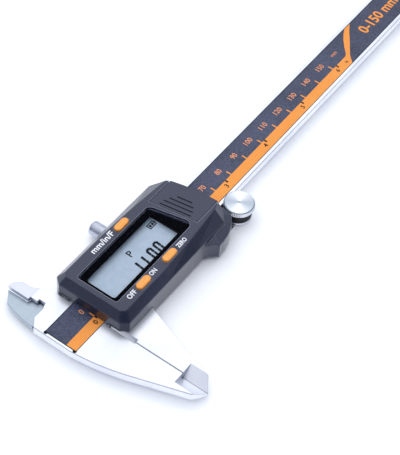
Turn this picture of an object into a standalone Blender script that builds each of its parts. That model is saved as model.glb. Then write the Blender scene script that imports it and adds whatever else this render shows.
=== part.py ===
"""A 150 mm digital caliper, lying on its back with the jaws closed.

Metres. The pieces are placed from the caliper's own datum: x = 0 is the plane where the
outside jaws meet and x runs along the beam, y = 0 is the beam's centre line, and z = 0 is
the beam's front face. The datum stands so that the world origin is at the middle of the
caliper's footprint, on the surface it lies on.
"""

import math

import bmesh
import bpy
from mathutils import Matrix, Vector

# Clearances
FIT = 0.0003
SNUG = 0.0002
GLUE = 0.0001
JAW_GAP = 0.0001

# How far a cutter stands out of what it cuts, and the smallest eased edge
OVERCUT = 0.001
FINE_EDGE = 0.0001

# Beam and fixed head
BEAM_WIDTH = 0.016
BEAM_THICKNESS = 0.0035
BEAM_END = 0.222
BEAM_CHAMFER = 0.0002
HEAD_LENGTH = 0.016
HEAD_TOP = 0.0131
HEAD_CORNER = 0.0033
HEAD_CORNER_DROP = 0.0025
HEAD_STEP_DROP = 0.0016
HEAD_BOTTOM = 0.0046
BLADE_RIGHT = -0.0005

# Outside jaws
JAW_TIP = 0.049
JAW_SHOULDER = 0.0459
JAW_BOW = 0.0008
JAW_TIP_BOW = 0.0004
FIXED_JAW_TIP_WIDTH = 0.005
FIXED_JAW_MID = (-0.0109, -0.0282)
MOVING_JAW_ROOT = 0.0147
MOVING_JAW_STEP = 0.0004
MOVING_JAW_MID = (0.0096, -0.0303)
MOVING_JAW_TIP_WIDTH = 0.0045
RELIEF_BOTTOM = 0.0195
RELIEF_FIXED = 0.0004
RELIEF_MOVING = 0.0012
THIN_START = 0.0389
THIN_WIDTH = 0.0045
THIN_LAND = 0.0006
THIN_OVERCUT = 0.0006

# Inside jaws, one in front of the other
INSIDE_TIP = 0.0281
INSIDE_PLANE = -0.0082
INSIDE_STEP = 0.0193
INSIDE_STEP_WIDTH = 0.0011
BRIDGE_MIDDLE = (-0.0026, 0.0184)
BRIDGE_TOP = 0.0162
INSIDE_SHOULDER = 0.0065
BLADE_SHOULDER = (-0.0037, 0.0217)
BLADE_ROUND = 0.0028
BLADE_BOW = 0.0003
BLADE_ROOT = 0.0004
RELIEF_HEIGHT = 0.0032
BLADE_RELIEF = 0.0007
MOVING_BLADE_WIDTH = 0.0069
MOVING_BLADE_BOW = 0.0004
MOVING_BLADE_CORNER = (0.0046, 0.0034)

# Scale in the beam's front
GROOVE_INSET = 0.0014
GROOVE_START = -0.015
GROOVE_MARGIN = 0.003
STRIP_THICKNESS = 0.0005
OVERLAY_THICKNESS = 0.00025
OVERLAY_SINK = 0.00005
CORNER_RELIEF = 0.0007
CORNER_RELIEF_INSET = 0.0005

# Depth rod and end stop
ROD_WIDTH = 0.003
ROD_THICKNESS = 0.0013
ROD_LAP = 0.021
ROD_SCREW_MARGINS = (0.0175, 0.0095)
ROD_SCREW_DEPTH = 0.0008
STOP_LENGTH = 0.006
STOP_SCREW_INSET = 0.003
STOP_SCREW_DEPTH = 0.0014

# Slider frame
BACK_THICKNESS = 0.0015
RAIL_TOP = 0.0006
RAIL_START = 0.0004
SLIDER_SETBACK = 0.0047
SLIDER_CORNER = 0.0012
GIB_THICKNESS = 0.0008
GIB_MARGIN = 0.001
GIB_SCREW_START = 0.012
GIB_SCREW_MARGIN = 0.0075
GIB_SCREW_RADIUS = 0.0009
GIB_SLOT_DEPTH = 0.0006

# Lock screw
LOCK_X = 0.0305
LOCK_HEAD_RADIUS = 0.00275
LOCK_HEAD_GAP = 0.0005
LOCK_REACH = 0.0074
LOCK_STEM_RADIUS = 0.0013
LOCK_STEM_EDGE = 0.0003
LOCK_HEAD_EDGE = 0.0002
LOCK_HEAD_ROUND = 0.0009

# Thumb roller
ROLLER_REACH = 0.0093
ROLLING_RADIUS = 0.0053
ROLLER_RADIUS = 0.0057
ROLLER_TOP = 0.0027
ROLLER_FLANGE = 0.005
ROLLER_FLANGE_THICKNESS = 0.0008
ROLLER_HUB = 0.0032
ROLLER_TEETH = 56
ROLLER_TOOTH = 0.00018
ROLLER_EDGE = 0.00035
ROLLER_HUB_OVERLAP = 0.0004
TYRE_EDGE = 0.0002
ROLLER_CAP = 0.0008
CENTRE_RADIUS = 0.0005
CENTRE_DEPTH = 0.0003
AXLE_RADIUS = 0.0012
TAB_THICKNESS = 0.0008
TAB_WIDTH = 0.0044
TAB_LAP = 0.007

# Front cover: its end is the place from which the slider's other places are measured
END_X = 0.0597
END_SLANT = 0.15
END_BOW = 6.8
END_STEP = 0.0006
END_INSET = 0.0040
END_TOP_INSET = 0.00365
END_LOW_SETBACK = 0.0032
END_HIGH_SETBACK = 0.0062
COVER_SIDE = 0.0075
COVER_WALL = 0.0017
COVER_BOTTOM = -0.0038
COVER_BEND = 0.0048
COVER_TOP = 0.0083
COVER_ROOF = 0.0016
COVER_CORNER = (0.0021, 0.0026)
COVER_FRONT_BEVEL = 0.0022
COVER_EDGE = 0.0003
COVER_SLOPE = 0.00265
COVER_TOP_CORNER = 0.0014
SHARP_ANGLE = math.radians(25)
TAPER_START_SETBACK = 0.0357
TAPER_MID_SETBACK = 0.0197
TAPER_MID_INSET = 0.0008
TAPER_END_SETBACK = 0.0027
TAPER_END_INSET = 0.00225
ROOF_INNER_INSET = 0.0007
INNER_BEND = 0.004
INNER_ROOF_START = 0.0028
COVER_END_WALL = 0.00085
NOTCH_DEPTH = 0.0005

# Thumb rest on the cover's lower side
REST_START_SETBACK = 0.0170
REST_CORNER_SETBACK = 0.0111
REST_CORNER_REACH = 0.0039
REST_OVERHANG = 0.0035
REST_RIM = 0.0028
REST_VALLEY = 0.0042
REST_ROOT = 0.0005
REST_FILLET = 0.0008
REST_BOW = 0.0013
REST_DISH = 0.55
REST_TIP_LENGTH = 0.0013
REST_TIP_DROP = 0.0002
REST_TURN_SETBACK = 0.0008
REST_TURN_INSET = 0.0010
REST_SIDE_INSET = 0.0047
REST_INNER = 0.002
REST_EDGE = 0.0004

# Display
WINDOW_START = 0.0043
WINDOW_INSET = 0.00465
WINDOW_SETBACK = 0.0144
WINDOW_SLANT = 0.226
WINDOW_THICKNESS = 0.0008
WINDOW_CORNER = 0.0024
WINDOW_SMALL_CORNER = 0.00084
WINDOW_LEDGE = 0.0009
LCD_START = 0.0046
LCD_END_INSET = 0.0029
LCD_INSET = 0.0006
LCD_FRONT = 0.0055
LCD_THICKNESS = 0.0016
LCD_FRAME_WALL = 0.0008
LCD_FRAME_LIP = 0.0007
RUBBER_WIDTH = 0.0014
RUBBER_INSET = 0.0003
RUBBER_END = 0.001

# Circuit board
BOARD_START = 0.003
BOARD_SETBACK = 0.0142
BOARD_THICKNESS = 0.0008
BOARD_MARGIN = 0.001
CHIP_X = 0.023
CHIP_RADIUS = 0.0034
CHIP_HEIGHT = 0.0011

# Buttons
BUTTON_LENGTH = 0.0066
BUTTON_WIDTH = 0.0028
BUTTON_PROUD = 0.0007
BUTTON_TRAVEL = 0.0004
BUTTON_FLANGE = 0.0008
BUTTON_FLANGE_THICKNESS = 0.0006
BUTTON_STEM_RADIUS = 0.0009
BUTTON_EDGE = 0.0003
SWITCH_LENGTH = 0.0034
SWITCH_WIDTH = 0.0020
SWITCH_BODY = 0.0008
SWITCH_HEIGHT = 0.0012
BUTTON_INSET = 0.0024
BUTTON_PLACES = {"unit": (0.0310, 1), "power": (0.0160, -1), "zero": (0.0306, -1)}

# Battery
CELL_SETBACK = 0.0064
CELL_RADIUS = 0.0058
CELL_HEIGHT = 0.0054
CELL_CAN_STEP = 0.0008
CELL_CAP_INSET = 0.0007
CELL_EDGE = 0.0003
TRAY_THICKNESS = 0.0005
CONTACT_THICKNESS = 0.0002
CONTACT_WIDTH = 0.003
CONTACT_PLUS_LENGTH = 0.006
DOOR_THICKNESS = 0.0012
DOOR_DOVETAIL = 0.0005
DOOR_SETBACK = 0.0127
DOOR_SLANT = 0.16
DOOR_SEAT_END = 0.003
GRIP_COUNT = 4
GRIP_WIDTH = 0.0005
GRIP_DEPTH = 0.0003
GRIP_PITCH = 0.0019
GRIP_MARGIN = 0.001
GRIP_LENGTH = 0.0122
GRIP_SHRINK = 0.00072
GRIP_ANGLE = math.radians(9)

# Cover screws
SCREW_RADIUS = 0.0008
SCREW_HEAD_RADIUS = 0.0015
SCREW_HEAD_HEIGHT = 0.0008
SCREW_GRIP = 0.0036
SCREW_SLOT = 0.0004
SCREW_SLOT_REACH = 0.0009
SCREW_SLOT_DEPTH = 0.0004
SCREW_TIP = 0.0002
SCREW_SINK = 0.0002
BOSS_RADIUS = 0.0017
BOSS_ROOT = 0.0004
BOSS_INSET = 0.0022
BOSS_START = 0.0052
BOSS_SETBACK = 0.0189

# Levels and places that follow from the sizes above
HALF_BEAM = BEAM_WIDTH / 2
BEAM_BACK = -BEAM_THICKNESS
BLADE_SPLIT = -BEAM_THICKNESS / 2
HEAD_STEP = HEAD_TOP - HEAD_STEP_DROP
GROOVE_WIDTH = BEAM_WIDTH - 2 * GROOVE_INSET
STOP_SCREW_SPREAD = HALF_BEAM - STOP_SCREW_INSET
BACK_TOP = BEAM_BACK - FIT
BACK_BOTTOM = BACK_TOP - BACK_THICKNESS
COVER_HALF_WIDTH = HALF_BEAM + COVER_SIDE
RAIL_INNER = HALF_BEAM + FIT
GIB_RAIL_INNER = RAIL_INNER + GIB_THICKNESS + FIT
RAIL_OUTER = COVER_HALF_WIDTH - COVER_WALL - FIT
GROOVE_DEPTH = 2 * GLUE + STRIP_THICKNESS + OVERLAY_THICKNESS + OVERLAY_SINK
STRIP_BOTTOM = -GROOVE_DEPTH + GLUE
SLIDER_END = END_X - SLIDER_SETBACK
GIB_SCREWS = (GIB_SCREW_START, SLIDER_END - GIB_SCREW_MARGIN)
ROD_START = SLIDER_END - ROD_LAP
ROD_SCREWS = tuple(SLIDER_END - margin for margin in ROD_SCREW_MARGINS)
LOCK_HEAD_START = COVER_HALF_WIDTH + LOCK_HEAD_GAP
LOCK_END = COVER_HALF_WIDTH + LOCK_REACH
ROLLER_X = END_X + ROLLER_REACH
ROLLER_Y = -(HALF_BEAM + ROLLING_RADIUS)
TAB_ROOT = SLIDER_END - TAB_LAP
TAB_TOP = BACK_BOTTOM + TAB_THICKNESS
ROLLER_BOTTOM = TAB_TOP + FIT
TOP_HALF_WIDTH = COVER_HALF_WIDTH - COVER_SLOPE
TAPER_START = END_X - TAPER_START_SETBACK
TAPER_MID = (END_X - TAPER_MID_SETBACK, TOP_HALF_WIDTH - TAPER_MID_INSET)
TAPER_END = (END_X - TAPER_END_SETBACK, TOP_HALF_WIDTH - TAPER_END_INSET)
END_HALF_WIDTH = COVER_HALF_WIDTH - END_INSET
END_TOP_HALF_WIDTH = TOP_HALF_WIDTH - END_TOP_INSET
INNER_ROOF_HALF_WIDTH = TOP_HALF_WIDTH - ROOF_INNER_INSET
REST_START = END_X - REST_START_SETBACK
REST_CORNER = (END_X - REST_CORNER_SETBACK, -COVER_HALF_WIDTH - REST_CORNER_REACH)
REST_END = END_X + REST_OVERHANG
CEILING = COVER_TOP - COVER_ROOF
WINDOW_END = END_X - WINDOW_SETBACK
WINDOW_HALF_WIDTH = TOP_HALF_WIDTH - WINDOW_INSET
LCD_END = WINDOW_END - LCD_END_INSET
LCD_HALF_WIDTH = WINDOW_HALF_WIDTH - LCD_INSET
BOARD_END = END_X - BOARD_SETBACK
BOARD_HALF_WIDTH = COVER_HALF_WIDTH - COVER_WALL - BOARD_MARGIN
BOARD_BOTTOM = RAIL_TOP + FIT
BOARD_TOP = BOARD_BOTTOM + BOARD_THICKNESS
BUTTON_Y = TOP_HALF_WIDTH - BUTTON_INSET
BUTTONS = {name: (x, side * BUTTON_Y) for name, (x, side) in BUTTON_PLACES.items()}
TRAY_TOP = FIT + TRAY_THICKNESS
CELL_X = END_X - CELL_SETBACK
CELL_BOTTOM = TRAY_TOP + 2 * SNUG + CONTACT_THICKNESS
DOOR_START = END_X - DOOR_SETBACK
DOOR_BOTTOM = COVER_TOP - DOOR_THICKNESS
GRIP_FIRST = DOOR_START + GRIP_MARGIN
BOSS_Y = RAIL_OUTER - BOSS_INSET
BOSS_X = (BOSS_START, END_X - BOSS_SETBACK)

# Colour, metallic and roughness of each finish
FINISHES = {
    "steel": ((0.72, 0.74, 0.78), 1.0, 0.32),
    "bright_steel": ((0.80, 0.81, 0.83), 1.0, 0.22),
    "dark_plastic": ((0.068, 0.068, 0.100), 0.0, 0.5),
    "orange_plastic": ((1.0, 0.35, 0.05), 0.0, 0.4),
    "grey_plastic": ((0.16, 0.17, 0.19), 0.0, 0.6),
    "clear_window": ((0.02, 0.02, 0.03), 0.0, 0.08),
    "display_glass": ((0.36, 0.45, 0.56), 0.0, 0.2),
    "printed_scale": ((0.075, 0.090, 0.140), 0.0, 0.45),
    "circuit_green": ((0.02, 0.16, 0.07), 0.0, 0.5),
    "rubber": ((0.02, 0.02, 0.022), 0.0, 0.8),
    "black_resin": ((0.01, 0.01, 0.01), 0.0, 0.4),
    "nickel": ((0.70, 0.68, 0.63), 1.0, 0.25),
}


def clear_scene():
    for obj in list(bpy.data.objects):
        bpy.data.objects.remove(obj, do_unlink=True)


def make_datum():
    """The caliper's own zero point, standing over the middle of the footprint."""
    datum = bpy.data.objects.new("datum", None)
    datum.empty_display_size = 0.02
    middle_x = (BEAM_END - HEAD_LENGTH) / 2
    middle_y = (INSIDE_TIP - JAW_TIP) / 2
    datum.location = (-middle_x, -middle_y, -BACK_BOTTOM)
    bpy.context.collection.objects.link(datum)
    return datum


def paint(obj, finish):
    colour, metallic, roughness = FINISHES[finish]
    material = bpy.data.materials.new(obj.name + "_" + finish)
    material.use_nodes = True
    shader = material.node_tree.nodes["Principled BSDF"]
    shader.inputs["Base Color"].default_value = (*colour, 1)
    shader.inputs["Metallic"].default_value = metallic
    shader.inputs["Roughness"].default_value = roughness
    obj.data.materials.append(material)


def add_object(name, mesh_data, finish=None, origin=(0, 0, 0)):
    """Links a bmesh as an object whose origin is at a point of the datum's space."""
    bmesh.ops.recalc_face_normals(mesh_data, faces=mesh_data.faces)
    bmesh.ops.translate(mesh_data, verts=mesh_data.verts, vec=-Vector(origin))
    mesh = bpy.data.meshes.new(name)
    mesh_data.to_mesh(mesh)
    mesh_data.free()
    obj = bpy.data.objects.new(name, mesh)
    obj.parent = DATUM
    obj.location = origin
    bpy.context.collection.objects.link(obj)
    if finish:
        paint(obj, finish)
        mesh.shade_smooth()
        mesh.set_sharp_from_angle(angle=math.radians(30))
    else:
        obj.hide_render = True
        obj.display_type = "WIRE"
    return obj


def boolean(obj, operation, tools):
    for tool in tools:
        modifier = obj.modifiers.new(tool.name, "BOOLEAN")
        modifier.operation = operation
        modifier.object = tool
        modifier.solver = "EXACT"
    return obj


def arc(start, end, bow, steps):
    """Points from start to end, bulging by bow to the right of the way there."""
    start = Vector(start)
    end = Vector(end)
    along = end - start
    side = Vector((along.y, -along.x)).normalized()
    points = []
    for step in range(steps + 1):
        share = step / steps
        points.append(tuple(start + along * share + side * bow * 4 * share * (1 - share)))
    return points


def rounded(corners, radius, steps=6):
    """A convex outline with every corner rounded by an arc of the given radius."""
    points = []
    count = len(corners)
    for index, corner in enumerate(corners):
        here = Vector(corner)
        back = (Vector(corners[index - 1]) - here).normalized()
        ahead = (Vector(corners[(index + 1) % count]) - here).normalized()
        half = back.angle(ahead) / 2
        centre = here + (back + ahead).normalized() * radius / math.sin(half)
        reach = radius / math.tan(half)
        first = here + back * reach - centre
        turn = first.angle_signed(here + ahead * reach - centre)
        for step in range(steps + 1):
            spoke = first.copy()
            spoke.rotate(Matrix.Rotation(-turn * step / steps, 2))
            points.append(tuple(centre + spoke))
    return points


def stadium(centre, length, width, steps=10):
    radius = width / 2
    points = []
    for side in (1, -1):
        for step in range(steps + 1):
            angle = math.pi * step / steps - side * math.pi / 2
            points.append((
                centre[0] + side * (length / 2 - radius) + radius * math.cos(angle),
                centre[1] + radius * math.sin(angle),
            ))
    return points


def prism(outline, low, high, edge=0, edge_low=None, segments=1):
    """A vertical prism on an outline, with its top and bottom edges eased."""
    mesh_data = bmesh.new()
    bottom = [mesh_data.verts.new((x, y, low)) for x, y in outline]
    top = [mesh_data.verts.new((x, y, high)) for x, y in outline]
    count = len(outline)
    for index in range(count):
        following = (index + 1) % count
        mesh_data.faces.new((bottom[index], bottom[following], top[following], top[index]))
    base = mesh_data.faces.new(bottom)
    lid = mesh_data.faces.new(top)
    bmesh.ops.recalc_face_normals(mesh_data, faces=mesh_data.faces)
    for face, width in ((lid, edge), (base, edge if edge_low is None else edge_low)):
        if width:
            bmesh.ops.bevel(
                mesh_data, geom=list(face.edges), offset=width, segments=segments,
                affect="EDGES", profile=0.5, clamp_overlap=True,
            )
    return mesh_data


def box(low, high, edge=0):
    outline = [(low[0], low[1]), (high[0], low[1]), (high[0], high[1]), (low[0], high[1])]
    return prism(outline, low[2], high[2], edge)


def turned(profile, centre, axis="Z", segments=32):
    """A solid of revolution from (radius, height) points that run up its outer side."""
    mesh_data = bmesh.new()
    rings = []
    for radius, height in profile:
        ring = []
        for step in range(segments):
            angle = 2 * math.pi * step / segments
            ring.append(mesh_data.verts.new((radius * math.cos(angle), radius * math.sin(angle), height)))
        rings.append(ring)
    for lower, upper in zip(rings, rings[1:]):
        for step in range(segments):
            following = (step + 1) % segments
            mesh_data.faces.new((lower[step], lower[following], upper[following], upper[step]))
    mesh_data.faces.new(rings[0])
    mesh_data.faces.new(rings[-1])
    if axis == "Y":
        bmesh.ops.rotate(mesh_data, verts=mesh_data.verts, matrix=Matrix.Rotation(-math.pi / 2, 3, "X"))
    bmesh.ops.translate(mesh_data, verts=mesh_data.verts, vec=centre)
    return mesh_data


def ring_solid(profile, centre, segments=40):
    """A turned ring: the closed (radius, height) outline goes round its section."""
    mesh_data = bmesh.new()
    rings = []
    for radius, height in profile:
        ring = []
        for step in range(segments):
            angle = 2 * math.pi * step / segments
            ring.append(mesh_data.verts.new((
                centre[0] + radius * math.cos(angle),
                centre[1] + radius * math.sin(angle),
                centre[2] + height,
            )))
        rings.append(ring)
    for index, ring in enumerate(rings):
        after = rings[(index + 1) % len(rings)]
        for step in range(segments):
            following = (step + 1) % segments
            mesh_data.faces.new((ring[step], ring[following], after[following], after[step]))
    return mesh_data


def cylinder(radius, low, high, centre=(0, 0), axis="Z", edge=0, segments=32):
    """A round bar from low to high along its axis; centre is its place across the axis."""
    length = high - low
    profile = [(radius, 0), (radius, length)]
    if edge:
        profile = [(radius - edge, 0), (radius, edge), (radius, length - edge), (radius - edge, length)]
    if axis == "Y":
        return turned(profile, (centre[0], low, centre[1]), axis, segments)
    return turned(profile, (centre[0], centre[1], low), axis, segments)


def fixed_outline():
    """The beam, the fixed head and the fixed outside jaw, seen from the front."""
    left = -HEAD_LENGTH
    back = arc((left, -HEAD_BOTTOM), FIXED_JAW_MID, JAW_BOW, 8)
    tip = arc((-FIXED_JAW_TIP_WIDTH, -JAW_SHOULDER), (0, -JAW_TIP), JAW_TIP_BOW, 4)
    return [
        (0, -RELIEF_BOTTOM),
        (-RELIEF_FIXED, -RELIEF_BOTTOM),
        (-RELIEF_FIXED, -HALF_BEAM),
        (BEAM_END, -HALF_BEAM),
        (BEAM_END, HALF_BEAM),
        (BLADE_RIGHT, HALF_BEAM),
        (BLADE_RIGHT, HEAD_TOP),
        (left + HEAD_CORNER, HEAD_TOP),
        (left, HEAD_TOP - HEAD_CORNER_DROP),
        *back,
        *tip,
    ]


def blade_outline():
    """The fixed inside blade, in front, with its step and corner relief."""
    plane = INSIDE_PLANE
    step = plane + INSIDE_STEP_WIDTH
    top_corner = (BLADE_SHOULDER[0] - BLADE_ROUND, INSIDE_TIP)
    return [
        (BLADE_RIGHT, HALF_BEAM),
        (BLADE_RIGHT, HEAD_TOP),
        *arc((BLADE_RIGHT, HEAD_TOP + BLADE_ROOT), BLADE_SHOULDER, BLADE_BOW, 6),
        *arc((BLADE_SHOULDER[0], INSIDE_TIP - BLADE_ROUND), top_corner, BLADE_BOW, 6),
        (plane, INSIDE_TIP),
        (plane, INSIDE_STEP),
        (step, INSIDE_STEP),
        (step, HEAD_TOP + RELIEF_HEIGHT),
        (step + INSIDE_STEP_WIDTH, HEAD_TOP + RELIEF_HEIGHT),
        (step + INSIDE_STEP_WIDTH, HEAD_TOP + BLADE_RELIEF),
        (plane, HEAD_TOP),
        (plane, HALF_BEAM),
    ]


def thinning_wedge(name, side, face_x):
    """The slope that thins a jaw's tip towards the measuring face."""
    mesh_data = bmesh.new()
    over = THIN_OVERCUT
    near = face_x - side * over
    far = face_x + side * THIN_WIDTH
    deep = BEAM_BACK + THIN_LAND
    section = [(near, over), (far, over), (far, 0), (face_x, deep), (near, deep)]
    start = [mesh_data.verts.new((x, -THIN_START, z)) for x, z in section]
    end = [mesh_data.verts.new((x, -JAW_TIP - over, z)) for x, z in section]
    for index in range(len(section)):
        following = (index + 1) % len(section)
        mesh_data.faces.new((start[index], start[following], end[following], end[index]))
    mesh_data.faces.new(start)
    mesh_data.faces.new(end)
    return add_object(name, mesh_data)


def make_beam():
    """Beam, head, fixed outside jaw and fixed inside blade, one piece of steel."""
    beam = add_object("beam", prism(fixed_outline(), BEAM_BACK, 0, BEAM_CHAMFER), "steel")
    blade = add_object("beam_blade", prism(blade_outline(), BLADE_SPLIT + FIT / 2, 0, FINE_EDGE))
    groove_end = BEAM_END - GROOVE_MARGIN
    half_groove = GROOVE_WIDTH / 2
    half_rod = ROD_WIDTH / 2 + FIT
    cutters = [
        add_object("beam_scale_groove", box(
            (GROOVE_START, -half_groove, -GROOVE_DEPTH), (groove_end, half_groove, OVERCUT))),
        add_object("beam_rod_groove", box(
            (ROD_START - FIT * 2, -half_rod, BEAM_BACK - OVERCUT),
            (BEAM_END + OVERCUT, half_rod, BEAM_BACK + ROD_THICKNESS + FIT))),
        thinning_wedge("beam_tip_slope", -1, 0),
        add_object("beam_rear_step", box(
            (-HEAD_LENGTH - OVERCUT, HEAD_STEP, BEAM_BACK - OVERCUT),
            (BLADE_RIGHT + OVERCUT, HEAD_TOP + OVERCUT, BLADE_SPLIT + FIT / 2))),
    ]
    for index, side in enumerate((1, -1)):
        centre = (GROOVE_START, side * (half_groove - CORNER_RELIEF_INSET))
        corner = cylinder(CORNER_RELIEF, -GROOVE_DEPTH - GLUE, OVERCUT, centre, segments=20)
        cutters.append(add_object(f"beam_groove_corner_{index + 1}", corner))
    for index, side in enumerate((1, -1)):
        centre = (BEAM_END - STOP_LENGTH / 2, side * STOP_SCREW_SPREAD)
        top = BEAM_BACK + STOP_SCREW_DEPTH + FIT
        hole = cylinder(SCREW_RADIUS + FIT / 2, BEAM_BACK - OVERCUT, top, centre, segments=20)
        cutters.append(add_object(f"beam_stop_hole_{index + 1}", hole))
    boolean(beam, "UNION", [blade])
    boolean(beam, "DIFFERENCE", cutters)


def make_scale():
    """The encoder strip and the printed overlay, laid in the beam's groove."""
    end = BEAM_END - GROOVE_MARGIN - FIT
    half = GROOVE_WIDTH / 2 - SNUG
    start = GROOVE_START + FIT
    strip_top = STRIP_BOTTOM + STRIP_THICKNESS
    overlay_bottom = strip_top + GLUE
    add_object("encoder_strip", box((start, -half, STRIP_BOTTOM), (end, half, strip_top)), "circuit_green")
    add_object("scale_overlay", box(
        (start, -half, overlay_bottom), (end, half, overlay_bottom + OVERLAY_THICKNESS)), "printed_scale")


def make_screw(name, centre, head_level, length):
    """A countersunk screw driven up from the back: head at the bottom, cross slot in it."""
    head = SCREW_HEAD_RADIUS
    profile = [
        (head, 0), (head, SCREW_HEAD_HEIGHT), (SCREW_RADIUS, SCREW_HEAD_HEIGHT),
        (SCREW_RADIUS, length - SCREW_TIP), (SCREW_RADIUS - SCREW_TIP, length),
    ]
    place = (*centre, head_level)
    screw = add_object(name, turned(profile, place, segments=24), "bright_steel", place)
    slots = []
    for index in range(2):
        reach = (SCREW_SLOT_REACH, SCREW_SLOT / 2)
        half = reach if index == 0 else reach[::-1]
        slots.append(add_object(f"{name}_slot_{index + 1}", box(
            (centre[0] - half[0], centre[1] - half[1], head_level - OVERCUT),
            (centre[0] + half[0], centre[1] + half[1], head_level + SCREW_SLOT_DEPTH))))
    boolean(screw, "DIFFERENCE", slots)


def screw_hole(name, centre, top):
    """Clearance for a screw from the back, with a counterbore for its head."""
    seat = BACK_BOTTOM + SCREW_SINK + SCREW_HEAD_HEIGHT + FIT / 2
    profile = [
        (SCREW_HEAD_RADIUS + SNUG, BACK_BOTTOM - OVERCUT), (SCREW_HEAD_RADIUS + SNUG, seat),
        (SCREW_RADIUS + FIT / 2, seat), (SCREW_RADIUS + FIT / 2, top),
    ]
    return add_object(name, turned(profile, (*centre, 0), segments=24))


def make_end_stop():
    """The plate on the beam's back that stops the slider, over the depth rod."""
    x = BEAM_END - STOP_LENGTH / 2
    low = (BEAM_END - STOP_LENGTH, -HALF_BEAM, BACK_BOTTOM)
    plate = add_object("end_stop_plate", box(low, (BEAM_END, HALF_BEAM, BACK_TOP), BEAM_CHAMFER), "steel")
    holes = []
    for index, side in enumerate((1, -1)):
        centre = (x, side * STOP_SCREW_SPREAD)
        holes.append(screw_hole(f"end_stop_hole_{index + 1}", centre, BACK_TOP + OVERCUT))
        length = BEAM_BACK + STOP_SCREW_DEPTH - BACK_BOTTOM - SCREW_SINK
        make_screw(f"end_stop_screw_{index + 1}", centre, BACK_BOTTOM + SCREW_SINK, length)
    boolean(plate, "DIFFERENCE", holes)


def make_depth_rod():
    """The rod in the beam's back, held to the slider by two screws."""
    low = (ROD_START, -ROD_WIDTH / 2, BEAM_BACK)
    high = (BEAM_END, ROD_WIDTH / 2, BEAM_BACK + ROD_THICKNESS)
    rod = add_object("depth_rod", box(low, high), "steel")
    holes = []
    screw_top = BEAM_BACK + ROD_SCREW_DEPTH
    for index, x in enumerate(ROD_SCREWS):
        hole = cylinder(SCREW_RADIUS + FIT / 2, BEAM_BACK - OVERCUT, screw_top + SNUG, (x, 0), segments=20)
        holes.append(add_object(f"depth_rod_hole_{index + 1}", hole))
        length = screw_top - BACK_BOTTOM - SCREW_SINK
        make_screw(f"depth_rod_screw_{index + 1}", (x, 0), BACK_BOTTOM + SCREW_SINK, length)
    boolean(rod, "DIFFERENCE", holes)


def moving_jaw_outline():
    return [
        (JAW_GAP, -JAW_TIP),
        (JAW_GAP, -RELIEF_BOTTOM),
        (RELIEF_MOVING, -RELIEF_BOTTOM),
        (RELIEF_MOVING, -RAIL_INNER - BEAM_CHAMFER),
        (MOVING_JAW_ROOT, -RAIL_INNER - BEAM_CHAMFER),
        (MOVING_JAW_ROOT, -COVER_HALF_WIDTH - MOVING_JAW_STEP),
        MOVING_JAW_MID,
        (MOVING_JAW_TIP_WIDTH, -JAW_SHOULDER),
    ]


def moving_blade_outline():
    """The moving inside blade, behind, and its bridge to the slider's rail."""
    plane = INSIDE_PLANE - JAW_GAP
    bottom = HEAD_STEP + FIT
    outer = plane - MOVING_BLADE_WIDTH
    corner = (plane - MOVING_BLADE_CORNER[0], INSIDE_TIP - MOVING_BLADE_CORNER[1])
    return [
        (outer, bottom),
        (RAIL_START, bottom),
        (RAIL_START, GIB_RAIL_INNER + BEAM_CHAMFER),
        (INSIDE_SHOULDER, GIB_RAIL_INNER + BEAM_CHAMFER),
        (INSIDE_SHOULDER, RAIL_OUTER + BEAM_CHAMFER),
        (RAIL_START, BRIDGE_TOP),
        BRIDGE_MIDDLE,
        (plane, INSIDE_STEP + FIT),
        (plane, INSIDE_TIP),
        *arc(corner, (outer, bottom), MOVING_BLADE_BOW, 6)[:-1],
    ]


def tab_outline():
    """The tab that reaches out under the roller, round at its end."""
    half = TAB_WIDTH / 2
    points = [(TAB_ROOT, ROLLER_Y - half)]
    for step in range(13):
        angle = math.pi * step / 12
        points.append((ROLLER_X + half * math.sin(angle), ROLLER_Y - half * math.cos(angle)))
    points.append((TAB_ROOT, ROLLER_Y + half))
    return points


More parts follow.
